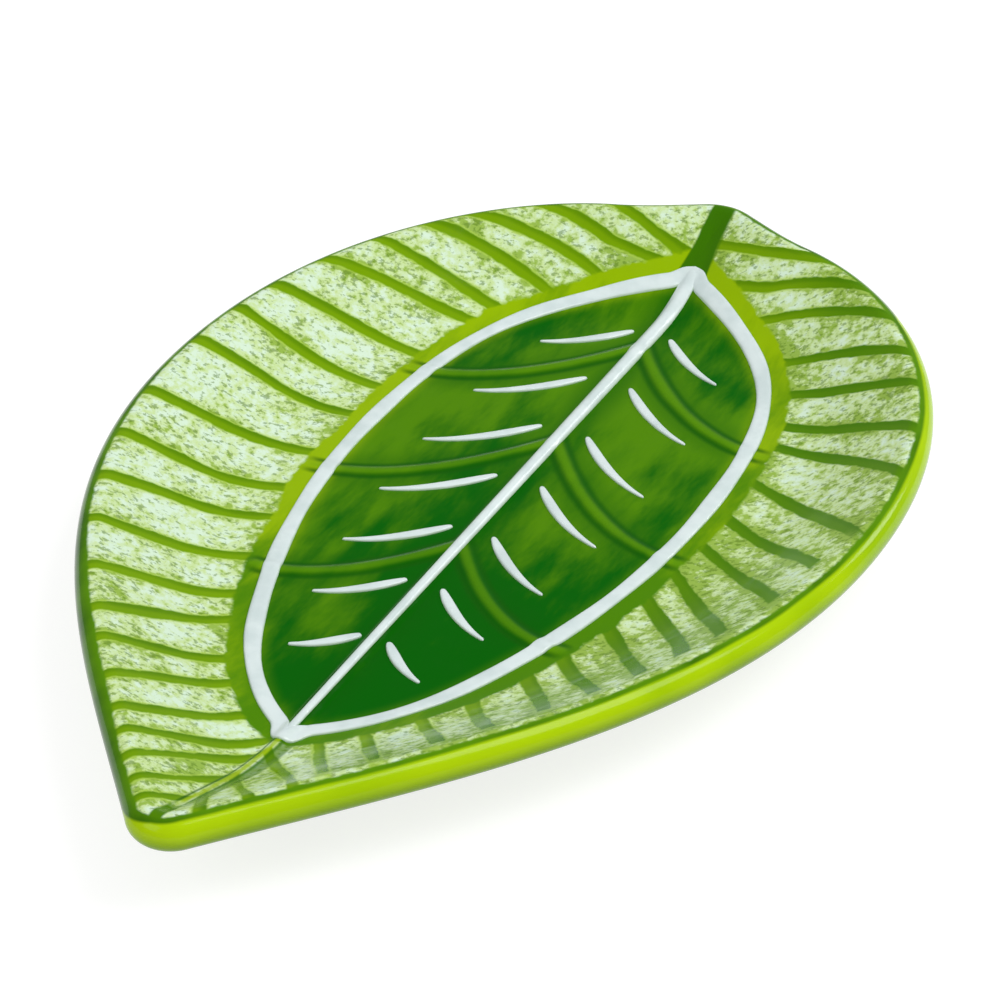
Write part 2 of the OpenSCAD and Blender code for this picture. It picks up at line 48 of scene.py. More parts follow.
# %% Sizes
MM = 0.001
PLATE_LEN, PLATE_W, PLATE_H = 250.0, 158.0, 21.0
LIP_R, COVE_R, COAT = 3.0, 36.0, 0.4
FLOOR_Z, FOOT_H = 8.0, 2.5
SLOPE = np.radians(30.0)
BAND_ANGLE = 30.0
OUTLINE = [
    [[0, 0], [0, 0.029], [0.004, 0.057], [0.011, 0.076]],
    [[0.011, 0.076], [0.161, 0.484], [0.315, 1], [0.572, 1]],
    [[0.572, 1], [0.79, 1], [0.924, 0.62], [0.958, 0.3]],
    [[0.958, 0.3], [0.9665, 0.22], [0.9805, 0.148], [0.988, 0.105]],
    [[0.988, 0.105], [0.994, 0.07], [1, 0.045], [1, 0]]]
LEAF = [
    [[0, 0], [0.02, 0.2], [0.07, 0.44], [0.15, 0.6]],
    [[0.15, 0.6], [0.26, 0.82], [0.4, 1], [0.56, 1]],
    [[0.56, 1], [0.84, 1], [0.9, 0.66], [1, 0]]]
FOOT = [
    [[0, 0], [0, 0.3], [0.06, 0.5], [0.18, 0.7]],
    [[0.18, 0.7], [0.28, 0.88], [0.42, 1], [0.58, 1]],
    [[0.58, 1], [0.82, 1], [1, 0.58], [1, 0]]]
LEAF_TIP_X = 0.192 * PLATE_LEN - PLATE_LEN / 2
LEAF_LEN = (0.916 - 0.192) * PLATE_LEN
LEAF_HALF_W = 0.485 * PLATE_W / 2
print("plate", PLATE_LEN, "by", PLATE_W, "by", PLATE_H, "mm")

# %% [markdown]
# A wall seen in section is a round lip, a straight slope and a cove. The run t goes inwards from the
# outermost clay. Inside and underside are the same section, one wall thickness apart.

# %% Section of the wall
LIP_IN_T = LIP_R * (1 + np.sin(SLOPE))
LIP_IN_Z = PLATE_H - LIP_R * (1 - np.cos(SLOPE))
COVE_TOP_T = LIP_IN_T + (LIP_IN_Z - FLOOR_Z - COVE_R * (1 - np.cos(SLOPE))) / np.tan(SLOPE)
WALL_INSET = COVE_TOP_T + COVE_R * np.sin(SLOPE)
UNDER_R = COVE_R + 2 * LIP_R
LIP_OUT_T = LIP_R * (1 - np.sin(SLOPE))
LIP_OUT_Z = PLATE_H - LIP_R * (1 + np.cos(SLOPE))
UNDER_TOP_T = LIP_OUT_T + (LIP_OUT_Z - FOOT_H - UNDER_R * (1 - np.cos(SLOPE))) / np.tan(SLOPE)
UNDER_INSET = UNDER_TOP_T + UNDER_R * np.sin(SLOPE)


def slope_then_cove(t, top_t, top_z, radius, end_t, flat_z):
    """Height at run t: a straight line down at SLOPE from (top_t, top_z), then the arc
    flat_z + radius - sqrt(radius^2 - (end_t - t)^2), then the flat."""
    t = np.asarray(t, float)
    line = top_z - (t - top_t) * np.tan(SLOPE)
    arc = flat_z + radius - np.sqrt(np.maximum(radius ** 2 - (end_t - t) ** 2, 0))
    arc_from = end_t - radius * np.sin(SLOPE)
    return np.where(t <= arc_from, line, np.where(t >= end_t, flat_z, arc))


def inside_z(t):
    """Height of the clay inside the dish at run t."""
    return slope_then_cove(t, LIP_IN_T, LIP_IN_Z, COVE_R, WALL_INSET, FLOOR_Z)


def under_z(t):
    """Height of the clay underneath at run t."""
    return slope_then_cove(t, LIP_OUT_T, LIP_OUT_Z, UNDER_R, UNDER_INSET, FOOT_H)


def coat_rise(t, end_t, radius):
    """Upright height of a coat laid at right angles to the wall: coat / cos(slope at run t)."""
    sine = np.clip((end_t - t) / radius, 0, np.sin(SLOPE))
    return COAT / np.sqrt(1 - sine ** 2)


print("wall runs", round(float(WALL_INSET), 2), "mm inwards, underside", round(float(UNDER_INSET), 2), "mm")

# %% [markdown]
# The outlines are smooth curves, but a skin is woven from points, and best from points that lie an
# equal length apart. So a curve is drawn finely by its formula and then walked again in even steps.

# %% Curves in even steps
def chain(pieces, steps=400):
    """Points of a chain of cubic curves: a(1-u)^3 + 3b u(1-u)^2 + 3c u^2(1-u) + d u^3 for each."""
    u = np.linspace(0, 1, steps + 1)[:, None]
    runs = [a * (1 - u) ** 3 + 3 * b * u * (1 - u) ** 2 + 3 * c * u ** 2 * (1 - u) + d * u ** 3
            for a, b, c, d in np.array(pieces, float)]
    return np.vstack([r[:-1] for r in runs[:-1]] + [runs[-1]])


def lengths(points):
    """Length along a line of points up to each of them."""
    return np.r_[0, np.cumsum(np.linalg.norm(np.diff(points, axis=0), axis=1))]


def even(points, count):
    """The same line as count + 1 points an equal length apart."""
    run = lengths(points)
    at = np.linspace(0, run[-1], count + 1)
    return np.c_[np.interp(at, run, points[:, 0]), np.interp(at, run, points[:, 1])]


outline_side = chain(OUTLINE) * [PLATE_LEN, PLATE_W / 2]
print("one side of the outline is", round(float(lengths(outline_side)[-1]), 1), "mm long")

# %% [markdown]
# The rim is walked in even steps, and a ray runs inwards from each step at right angles to it. Near
# the tip and the stem the rays of both flanks meet on the axis before they reach the floor, so a ray
# ends either at the floor's edge or on the axis.

# %% Rays of one flank
RAYS = 560
FINER = 4        # the rim's direction is taken on this many times more points
POLE_RAYS = 6    # rays so close to the tip or the stem share one place on the axis
SPARE = 8.0      # a ray stops on the axis if that is at most this far past the wall's end, in mm


def flank_rays(end_t):
    """Rim points, inward directions, and each ray's length up to the axis. The direction is the rim's
    own, smoothed by a bell over nine steps and turned by a right angle, and it meets the axis after
    y / -inward_y. Short rays are aimed anew, so that their ends on the axis never step back."""
    dense = outline_side - [PLATE_LEN / 2, 0]
    rim = even(dense, RAYS)
    way = np.gradient(even(dense, RAYS * FINER), axis=0)[::FINER]
    smooth = np.exp(-np.linspace(-2, 2, 9) ** 2)
    pad = np.vstack([way[4:0:-1] * [-1, 1], way, way[-2:-6:-1] * [-1, 1]])
    way = np.c_[np.convolve(pad[:, 0], smooth, "valid"), np.convolve(pad[:, 1], smooth, "valid")]
    inward = np.c_[way[:, 1], -way[:, 0]] / np.linalg.norm(way, axis=1)[:, None]
    rim[[0, -1], 1] = 0
    reach = rim[:, 1] / np.maximum(-inward[:, 1], 1e-9)
    axis_x = rim[:, 0] + reach * inward[:, 0]
    half = RAYS // 2
    first_x, last_x = axis_x[POLE_RAYS], axis_x[-POLE_RAYS - 1]
    axis_x[0], axis_x[-1] = first_x, last_x
    axis_x[:half] = np.maximum.accumulate(np.maximum(axis_x[:half], first_x))
    short = reach < end_t + SPARE
    last = half + np.argmax(short[half:])
    axis_x[last:] = np.maximum.accumulate(np.minimum(axis_x[last:], last_x))
    aim = np.c_[axis_x, np.zeros(RAYS + 1)] - rim
    reach = np.where(short, np.linalg.norm(aim, axis=1), reach)
    inward = np.where(short[:, None], aim / np.linalg.norm(aim, axis=1)[:, None], inward)
    return rim, inward, reach


rim, inward, reach = flank_rays(WALL_INSET)
rim_len = lengths(rim)
print("rays", len(rim), "about", round(float(rim_len[1]), 2), "mm apart")

# %% [markdown]
# The rays meet on the axis near the tip and the stem, so their ends there take one height, which
# depends on how far the axis is from the rim. The rest of a ray follows the section of the wall.

# %% Distance to the rim
AT_ONCE = 4_000_000    # distances held in memory together


def distance(points, line):
    """Distance from each point to a line of points: the least over its segments of |p - a - k(b - a)|,
    with k = (p - a).(b - a) / |b - a|^2 kept between 0 and 1. Signed: negative on the line's right."""
    a, d = line[:-1], np.diff(line, axis=0)
    best, sign = np.full(len(points), 1e9), np.ones(len(points))
    for part in np.array_split(np.arange(len(points)), max(1, len(points) * len(a) // AT_ONCE)):
        gap = points[part, None] - a
        k = np.clip((gap * d).sum(2) / (d * d).sum(1), 0, 1)
        off = gap - k[..., None] * d
        size = np.hypot(off[..., 0], off[..., 1])
        near = size.argmin(1)
        rows = np.arange(len(part))
        best[part] = size[rows, near]
        turn = d[near, 0] * gap[rows, near, 1] - d[near, 1] * gap[rows, near, 0]
        sign[part] = np.where(turn < 0, -1, 1)
    return best * sign


def ray_ends(rim, inward, reach, end_t):
    """Run of the section at which each ray ends: end_t, or the axis' own distance to the rim."""
    ends = rim + inward * reach[:, None]
    far = reach > end_t
    run = np.minimum(np.abs(distance(ends * [1, 0], rim)), end_t)
    return np.where(far, end_t, run), far


inner_run, meets_floor = ray_ends(rim, inward, reach, WALL_INSET)
under_run, meets_flat = ray_ends(rim, inward, reach, UNDER_INSET)
floor_rays = np.flatnonzero(meets_floor)
flat_rays = np.flatnonzero(meets_flat)
print("rays that reach the floor", floor_rays[0], "to", floor_rays[-1])

# %% [markdown]
# The potter pressed the clay over a mould that was cut with a midrib and three pairs of side veins.
# The veins bow to the tip like a real leaf's, and the painted strokes between them follow the same
# curve, so one formula with a place on the midrib and a reach draws them all.

# %% Lines of the veins
VEIN_ROOTS = [0.38, 0.618, 0.856]
VEIN_REACH, VEIN_RUN_ON, LEAN, BOW = 0.86, 1.3, 0.9, -0.14
leaf_line = chain(LEAF) * [LEAF_LEN, LEAF_HALF_W] + [LEAF_TIP_X, 0]


def side_line(root_share, reach_share, start=0.0, end=1.0, steps=60):
    """Curve of a vein or stroke: root(1 - u) + end u + bow 4u(1 - u), which leans to the tip and bows
    to it. Its end is where the lean meets the white leaf's half width times the reach."""
    root = LEAF_TIP_X + LEAF_LEN * root_share
    meets = leaf_line[:, 0] + LEAN * reach_share * leaf_line[:, 1]
    order = np.argsort(meets)
    end_x = np.interp(root, meets[order], leaf_line[order, 0])
    end_y = np.interp(end_x, leaf_line[:, 0], leaf_line[:, 1]) * reach_share
    u = np.linspace(start, end, steps + 1)
    return np.c_[root * (1 - u) + end_x * u + BOW * end_y * 4 * u * (1 - u), end_y * u]


vein_lines = [side_line(share, VEIN_REACH, 0, VEIN_RUN_ON) for share in VEIN_ROOTS]
print("veins reach out to", [round(float(line[-1, 1]), 1) for line in vein_lines], "mm")

# %% [markdown]
# Midrib and veins stand up as soft ridges under the glaze. A round section would meet the wall in a
# crease, so theirs is the smooth bump (1 - u^2)^2, which is level at its crest and at its foot.

# %% Relief of midrib and veins
RIB_HALF_W, RIB_HIGH = 2.3, 1.05
VEIN_HALF_W, VEIN_HIGH = 2.3, 0.55
TIP_MID_X, STEM_MID_X = -117.09, 113.92


def bump(gap, half_width):
    """Smooth ridge: (1 - u^2)^2 for u = gap / half width below 1, else 0."""
    return np.where(np.abs(gap) < half_width, (1 - (gap / half_width) ** 2) ** 2, 0)


def rib_grow(x):
    """Share of the midrib's full size at x: it starts small at the tip's and the stem's rounding."""
    tip = (x - TIP_MID_X) / (1.24 * WALL_INSET)
    stem = (STEM_MID_X - x) / (0.8 * WALL_INSET)
    return np.clip(np.minimum(tip, stem), 0, 1)


def vein_gap(x, y):
    """Distance to the nearest side vein."""
    return np.min([np.abs(distance(np.c_[x, np.abs(y)], line)) for line in vein_lines], axis=0)


def relief(x, y):
    """Rise of the glaze over the plain wall and floor, the higher of two bumps. The midrib's height
    grows from the tip as 0.12 + 1.38 g - 0.5 g^3 and its width as 0.45 + 0.55 g. The veins shrink by
    0.4 on their way out and fade smoothly over the last 0.4 before 1.2 of the leaf's half width."""
    grow = rib_grow(x)
    rib = RIB_HIGH * (0.12 + 1.38 * grow - 0.5 * grow ** 3) * (grow > 0)
    rise = rib * bump(y, RIB_HALF_W * (0.45 + 0.55 * grow))
    out = np.abs(y) / LEAF_HALF_W
    fade = np.clip((1.2 - out) / 0.4, 0, 1)
    veins = VEIN_HIGH * (1 - 0.4 * out) * fade * fade * (3 - 2 * fade) * bump(vein_gap(x, y), VEIN_HALF_W)
    return np.maximum(rise, veins)


print("the midrib is", round(float(relief(np.zeros(1), np.zeros(1))[0]), 2), "mm high in the middle")

# %% [markdown]
# A coat of glaze is a closed skin: the shiny side, the side that lies on the clay and the narrow edges
# between them. Each of these is a grid of points. A part is such a grid woven into faces, with the
# numbers that its finish needs, and the near flank is its mirror image.

# %% Weaving and mirroring
def weave(grid, values=None):
    """Triangles over a grid of points, rows along the flank and columns across. They face up where
    the columns run inwards."""
    rows, cols = grid.shape[:2]
    i, k = np.meshgrid(np.arange(rows - 1), np.arange(cols - 1), indexing="ij")
    a = (i * cols + k).ravel()
    faces = np.vstack([np.c_[a, a + 1, a + cols + 1], np.c_[a, a + cols + 1, a + cols]])
    return grid.reshape(-1, 3), faces, values or {}


def near(part):
    """The same part on the near flank: y and the faces' turn are reversed, and so is the rim length
that its finish reads. Numbers named near_ take the place of the far flank's."""
    points, faces, values = part
    signs = {"flow": [-1, 1], "normal": [1, -1, 1]}
    turned = {name: v * signs.get(name, 1) for name, v in values.items()}
    turned.update({name[5:]: v for name, v in values.items() if name.startswith("near_")})
    return points * [1, -1, 1], faces[:, ::-1], turned


def both(*parts):
    """Each part and its mirror image on the near flank."""
    return [q for p in parts for q in (p, near(p))]


print("a grid of 2 by 3 points has", len(weave(np.zeros((2, 3, 3)))[1]), "triangles")

# %% [markdown]
# Parts that meet share their edge, so what coincides is welded and a piece comes out closed.

# %% Welding parts
def weld(points, faces):
    """Points that coincide to a hundred-thousandth of a millimetre become one. Faces that shrink to
    nothing go, and so do those that stand in the plane y = 0, hidden where both flanks meet. Returns
    the points that faces still use, the faces, and which of the faces stayed."""
    _, first, same = np.unique(np.round(points, 5), axis=0, return_index=True, return_inverse=True)
    points, faces = points[first], same.ravel()[faces]
    real = (faces[:, 0] != faces[:, 1]) & (faces[:, 1] != faces[:, 2]) & (faces[:, 2] != faces[:, 0])
    real &= (np.abs(points[faces, 1]) > 1e-5).any(axis=1)
    used, faces = np.unique(faces[real], return_inverse=True)
    return points[used], faces.reshape(-1, 3), real


def gather(parts):
    """Parts laid one after another: points, faces and, for each named number, one row per point, NaN
    where a part has none."""
    starts = np.cumsum([0] + [len(p) for p, _, _ in parts])
    points = np.vstack([p for p, _, _ in parts])
    faces = np.vstack([f + s for (_, f, _), s in zip(parts, starts)])
    values = {}
    for (_, _, own), a, b in zip(parts, starts, starts[1:]):
        for name, v in own.items():
            v = np.asarray(v, float).reshape(b - a, -1)
            values.setdefault(name, np.full((len(points), v.shape[1]), np.nan))[a:b] = v
    return points, faces, values


square = weave(np.array([[[0.0, 0, 0], [1, 0, 0]], [[0, 1, 0], [1, 1, 0]]]))
print("a square and its mirror image weld to", len(weld(*gather(both(square))[:2])[0]), "points")

# %% [markdown]
# Every piece is made in the same way: its parts are welded, each corner gets its numbers and its
# normal, and it is told what it rides on and which solids it stands for. What it prints counts the
# edges that don't join exactly two faces: there must be none.

# %% A piece from its parts
def piece(name, parts, slot, *nodes):
    """A closed piece from its parts, in metres, riding on the plate and standing for the CAD nodes."""
    points, faces, values = gather(parts)
    welded, tris, real = weld(points, faces)
    corners = faces[real].ravel()
    mesh = bpy.data.meshes.new(name)
    mesh.from_pydata(welded * MM, [], tris)
    mesh.shade_smooth()
    for key, v in values.items():
        v = np.nan_to_num(v[corners])
        if key == "flow":
            mesh.uv_layers.new(name=key).data.foreach_set("uv", v.ravel())
        elif key == "normal":
            mesh.normals_split_custom_set(v)
        elif not key.startswith("near_"):
            mesh.attributes.new(key, "FLOAT", "CORNER").data.foreach_set("value", v.ravel())
    thing = bpy.data.objects.new(name, mesh)
    bpy.context.scene.collection.objects.link(thing)
    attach(thing, "root")
    if nodes:
        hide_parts(*nodes)
    edges = np.sort(np.vstack([tris[:, [0, 1]], tris[:, [1, 2]], tris[:, [2, 0]]]), axis=1)
    uses = np.unique(edges, axis=0, return_counts=True)[1]
    print(name, len(tris), "triangles, open edges", int((uses != 2).sum()))
    return thing


print("the solid model has", len(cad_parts), "nodes to stand for")

# %% [markdown]
# The stripes were brushed on freehand from the rim to the painted leaf. Each has its own place and
# lean, read off the photograph. The number "phase" grows by one from one stripe to the next, so the
# finish finds the nearest stripe anywhere. The dark lip line changes its width along the rim as well.

# %% Where the stripes and the lip line lie
SWAY = 0.35          # mm by which a stroke sways to either side
LEAST_GAP = 3.5      # mm between two strokes where they would meet
# where each stripe starts on the rim, and how far it leans on for each millimetre inwards
FAR_STRIPES = [
    [7.8, 0.27], [12.9, 0.41], [20.3, 0.33], [27.1, 0.26], [34.7, 0.29], [44.3, 0.36],
    [56.7, 0.21], [66.6, 0.36], [80.4, 0.25], [97.5, 0.18], [112.9, 0.29], [128.9, 0.23],
    [146.6, 0.28], [168.9, 0.28], [184.6, 0.3], [196.8, 0.62], [211, 1.07], [226.8, 0.89],
    [239.8, 1.22], [249.2, 1.87], [266.8, 1.9], [285.6, 1.14]]
NEAR_STRIPES = [
    [8.8, 0.36], [18.4, 0.16], [26.9, 0.13], [31.1, 0.34], [41.8, 0.27], [53.2, 0.31],
    [63, 0.37], [74.3, 0.46], [84.3, 0.49], [94.6, 0.62], [103.1, 0.84], [112.8, 0.93],
    [129.6, 0.88], [144.1, 0.91], [158, 1.1], [184.3, 1], [202.2, 0.82], [221, 0.78],
    [233.5, 1.03], [247.2, 1.66], [260.5, 1.99], [272.9, 2.87]]
# rim lengths, and the runs of the lip line's inner and outer edge there
FAR_LIP = [[0, 5, 20, 40, 60, 100, 130, 220, 313], [2.4, 2.0, 1.7, 2.3, 2.5, 2.2, 2.3, 2.5, 2.6],
           [1.2, 0.0, -5.0, -5.0, -5.0, -5.0, -2.0, -1.0, -1.0]]
NEAR_LIP = [[0, 6, 160, 250, 262, 313], [2.4, 2.9, 2.9, 2.6, 2.6, 2.6],
            [1.2, 1.8, 1.8, 1.5, -1.0, -1.0]]
print("stripes on the far flank", len(FAR_STRIPES), "and on the near one", len(NEAR_STRIPES))

# %% [markdown]
# A stripe could be a strip of its own, but then it would need a place, an edge and a joint with the
# ground. Painting it by its phase keeps the glaze one smooth skin, as it is after the firing.

# %% Phase of the stripes
def stripe_phase(u, run, stripes):
    """Count of stripes at rim length u and run t: one half at the first of them, and one more at each
    of the next. Stripe k lies at start + lean t + sway sin(t / 6 + 2.4 k). Past the first and the
    last, the count goes on slowly and stops before the next half."""
    at = [start + lean * run + SWAY * np.sin(run / 6 + 2.4 * k) for k, (start, lean) in enumerate(stripes)]
    for a, b in zip(at, at[1:]):
        np.maximum(b, a + LEAST_GAP, out=b)
    steps = sum(np.clip((u - a) / (b - a), 0, 1) for a, b in zip(at, at[1:]))
    ends = np.clip((u - at[0]) / 12, -0.45, 0) + np.clip((u - at[-1]) / 12, 0, 0.45)
    return 0.5 + steps + ends


def stripe_pitch(grid, phase):
    """Millimetres from stripe to stripe: one over the phase's steepness on the grid of points."""
    rise = [np.gradient(phase, axis=k) / np.maximum(np.linalg.norm(np.gradient(grid, axis=k), axis=2), 1e-3)
            for k in (0, 1)]
    return 1 / np.maximum(np.hypot(*rise), 1 / 30)


middle = stripe_phase(np.array([150.0]), np.array([20.0]), FAR_STRIPES)
print("half way along the far flank the phase is", round(float(middle[0]), 2))

# %% [markdown]
# Inside and outside are both made of rows of points on the rays: round the lip by angle, and along
# the wall by run. These helpers serve both.

# %% Points on the rays
def lip_run(angle):
    """Run of a place on the round lip: it goes on from the slope's top, radius times angle, and falls
    below nought outside. The angle is measured from straight up to the outside."""
    return LIP_IN_T - LIP_R * (angle + SLOPE)


def lip_points(angles, lift):
    """On every ray: place across, height and run of points round the lip, which lie at the angles and
    at the lip's radius plus lift: LIP_R - r sin(angle) and PLATE_H - LIP_R + r cos(angle)."""
    angle, r = np.radians(angles), LIP_R + lift
    rows = LIP_R - r * np.sin(angle), PLATE_H - LIP_R + r * np.cos(angle), lip_run(angle)
    return [np.broadcast_to(row, (len(rim), len(angle))) for row in rows]


def wall_places(runs, start, full_run, own_run, meets):
    """Runs t cut off at each ray's own end, the places across that stretch them to the ray's whole
    length, and which of them lie on the axis: the ends of rays that don't meet the flat, or that are
    the first or the last to meet it."""
    t = np.minimum(np.asarray(runs)[None], own_run[:, None])
    full = np.where(meets, full_run, reach)
    across = start + (t - start) * ((full - start) / (own_run - start))[:, None]
    shut = ~meets
    shut[np.flatnonzero(meets)[[0, -1]]] = True
    return t, across, (t >= own_run[:, None] - 1e-9) & shut[:, None]


def on_rays(across, on_axis):
    """Points at those places across each ray, with y = 0 on the axis and on the first and last ray."""
    xy = rim[:, None] + across[..., None] * inward[:, None]
    xy[..., 1] = np.where(on_axis, 0, xy[..., 1])
    xy[[0, -1], :, 1] = 0
    return xy


print("the lip goes round from run", round(float(lip_run(0)), 2), "at its top to", round(float(LIP_IN_T), 2))

# %% [markdown]
# The inside is one smooth surface from the lip's outer shoulder down to the midrib. It is worked out
# as one sheet, whose shading normals stay smooth across the seam, and is then cut where the wall meets
# the floor: the border is one coat and the painted leaf is the other.

# %% Inside of the dish
LIP_STEPS, WALL_STEPS, FLOOR_STEPS = 8, 40, 64
LIP_STEP = (BAND_ANGLE + np.degrees(SLOPE)) / LIP_STEPS


def section_inside(angles, runs, lift):
    """Points of all rays: round the lip, then down the wall at inside_z(t) plus the coat's rise and
    the relief. Returns the points and their runs."""
    lip_across, lip_z, lip_t = lip_points(angles, lift)
    t, across, on_axis = wall_places(runs, LIP_IN_T, WALL_INSET, inner_run, meets_floor)
    across = np.c_[lip_across, across]
    xy = on_rays(across, np.c_[np.zeros(lip_t.shape, bool), on_axis])
    z = np.c_[lip_z, inside_z(t) + (coat_rise(t, WALL_INSET, COVE_R) if lift else 0)]
    if lift:
        rise = relief(xy[..., 0].ravel(), xy[..., 1].ravel()).reshape(z.shape)
        z = z + np.where(across > LIP_IN_T, rise, 0)
    return np.concatenate([xy, z[..., None]], 2), np.c_[lip_t, t]


def floor_lines(edge, steps):
    """Points of the floor: lines of constant x from the floor's edge (x, y) to the axis, y(1 - k)."""
    k = np.linspace(0, 1, steps + 1)
    x = np.repeat(edge[:, :1], steps + 1, 1)
    y = edge[:, 1:2] * (1 - k)
    return x, y


lip_angles = np.linspace(BAND_ANGLE, -np.degrees(SLOPE), LIP_STEPS + 1)
wall_runs = np.linspace(LIP_IN_T, WALL_INSET, WALL_STEPS + 1)[1:]
border, border_v = section_inside(lip_angles, wall_runs, COAT)
bed_runs = WALL_INSET - COVE_R * np.sin(SLOPE * np.arange(4, -1, -1) / 4)
bed, _ = section_inside([BAND_ANGLE, 0, -np.degrees(SLOPE)], bed_runs, 0)
span = slice(floor_rays[0], floor_rays[-1] + 1)
fx, fy = floor_lines(border[span, -1, :2], FLOOR_STEPS)
floor = np.stack([fx, fy, FLOOR_Z + COAT + relief(fx.ravel(), fy.ravel()).reshape(fx.shape)], 2)
floor[:, 0] = border[span, -1]
floor_bed = np.stack([*floor_lines(border[span, -1, :2], 1), np.full((len(fx), 2), FLOOR_Z)], 2)
print("border grid", border.shape, "floor grid", floor.shape)

# %% [markdown]
# A finish can only read what its surface holds. So each point gets the numbers that the brushwork
# follows: how far along the rim and how far inwards it is, its stripe, and its distance to the white
# line and to the veins.

# %% Numbers that the painting reads
def lip_line(u):
    """Runs of the lip line's inner and outer edge at rim length u, for the far and the near flank."""
    return {flank + name: np.interp(u, table[0], row).ravel()
            for flank, table in (("", FAR_LIP), ("near_", NEAR_LIP))
            for name, row in zip(("lip_inner", "lip_outer"), table[1:])}


def painting(grid, u, run):
    """For each point: rim length and run, the lip line's edges, the signed distance to the white leaf
    line, the distance to the nearest vein, and the stripes' phase and pitch on either flank."""
    flat = grid.reshape(-1, 3)
    nums = {"flow": np.c_[u.ravel(), run.ravel()], **lip_line(u),
            "leaf_gap": distance(np.c_[flat[:, 0], np.abs(flat[:, 1])], leaf_line[::8]),
            "vein_gap": vein_gap(flat[:, 0], flat[:, 1])}
    for flank, stripes in (("", FAR_STRIPES), ("near_", NEAR_STRIPES)):
        phase = stripe_phase(u, run, stripes)
        nums[flank + "phase"], nums[flank + "pitch"] = phase.ravel(), stripe_pitch(grid, phase).ravel()
    return nums


border_u = np.repeat(rim_len[:, None], border.shape[1], 1)
floor_u = np.repeat(rim_len[span, None], floor.shape[1], 1)
border_nums = painting(border, border_u, border_v)
floor_nums = painting(floor, floor_u, WALL_INSET + (border[span, -1, 1:2] - fy))
print("numbers on the border", sorted(border_nums))

# %% [markdown]
# Where two coats meet, a seam would catch the light if each were shaded by itself. So the normals are
# worked out over both coats, both flanks and a first row past the lip's seam, and then shared out.

# %% Shading over the seams, and the two inside coats
def smooth_normals(parts):
    """Normal at each point of the parts: the sum of the cross products of the faces around it."""
    points, faces, _ = gather(parts)
    _, same = np.unique(np.round(points, 5), axis=0, return_inverse=True)
    same = same.ravel()
    a, b, c = (points[faces[:, j]] for j in range(3))
    cross = np.cross(b - a, c - a)
    total = np.stack([sum(np.bincount(same[faces[:, j]], cross[:, axis], len(points)) for j in range(3))
                      for axis in range(3)], 1)
    total /= np.maximum(np.linalg.norm(total, axis=1), 1e-12)[:, None]
    return total[same]


over_seam, _ = section_inside([BAND_ANGLE + LIP_STEP, BAND_ANGLE], wall_runs[:1], COAT)
normals = smooth_normals(both(weave(border), weave(floor), weave(over_seam[:, :2])))
count = border.shape[0] * border.shape[1]
border_nums["normal"] = normals[:count]
floor_nums["normal"] = normals[2 * count:2 * count + floor.shape[0] * floor.shape[1]]

border_glaze = piece("border_glaze", both(
    weave(border, border_nums),
    weave(bed[:, ::-1]),
    weave(np.stack([bed[:, 0], border[:, 0]], 1)),
    weave(np.stack([border[span, -1], bed[span, -1]], 1))),
    "ground_glaze", "lip_band_glaze", "border_ground_glaze", "border_stripes", "stem_stroke", "midrib_glaze")
leaf_glaze = piece("painted_leaf_glaze", both(
    weave(floor, floor_nums),
    weave(floor_bed[:, ::-1]),
    weave(np.stack([floor_bed[:, 0], floor[:, 0]], 1))),
    "leaf_glaze", "leaf_field_glaze", "vein_glaze")

# %% [markdown]
# Outside, the plate was dipped in lime glaze from under the lip to the foot. The section goes round
# the lip, down the underside and over the flat to the foot ring, where the potter wiped it clean.

# %% Outside of the plate
FLAT_LEN, FLAT_W, FLAT_TIP_X = 161.04, 87.8, -75.04    # the flat underneath
FOOT_SPAN, FOOT_W, FOOT_X = 0.8 * FLAT_LEN, 0.8 * FLAT_W, FLAT_TIP_X + 0.54 * FLAT_LEN
FOOT_T, WIPE = 4.5, 1.0    # width of the ring, and of the bare clay wiped beside it


def foot_line(out, count):
    """Half outline of the foot ring from its tip, moved out along its left normal."""
    dense = chain(FOOT) * [FOOT_SPAN, FOOT_W / 2] + [FOOT_X - FOOT_SPAN / 2, 0]
    way = np.gradient(dense, axis=0)
    moved = dense + out * np.c_[-way[:, 1], way[:, 0]] / np.linalg.norm(way, axis=1)[:, None]
    moved[[0, -1], 1] = 0
    return even(moved, count)


def section_outside(angles, runs, lift):
    """Points of all rays from the foot side outwards: up the underside at under_z(t) less the coat's
    rise, then round the lip. Returns the points and their runs, which go on from the lip's and fall."""
    lip_across, lip_z, lip_t = lip_points(angles, lift)
    t, across, on_axis = wall_places(runs, LIP_OUT_T, UNDER_INSET, under_run, meets_flat)
    xy = on_rays(np.c_[across, lip_across], np.c_[on_axis, np.zeros(lip_t.shape, bool)])
    z = np.c_[under_z(t) - (coat_rise(t, UNDER_INSET, UNDER_R) if lift else 0), lip_z]
    return np.concatenate([xy, z[..., None]], 2), np.c_[lip_run(np.pi - SLOPE) + LIP_OUT_T - t, lip_t]


def between(a, b, steps):
    """Straight rows of points from line a to line b."""
    k = np.linspace(0, 1, steps + 1)[:, None]
    return a[:, None] * (1 - k) + b[:, None] * k


print("half the foot ring is", round(float(lengths(foot_line(0, 200))[-1]), 1), "mm long")

# %% [markdown]
# The coat is woven from the wall, the flat, what lies on the clay under both, and the two narrow edges
# where the glaze ends. Wall and flat share their normals, so no seam shows where they meet.

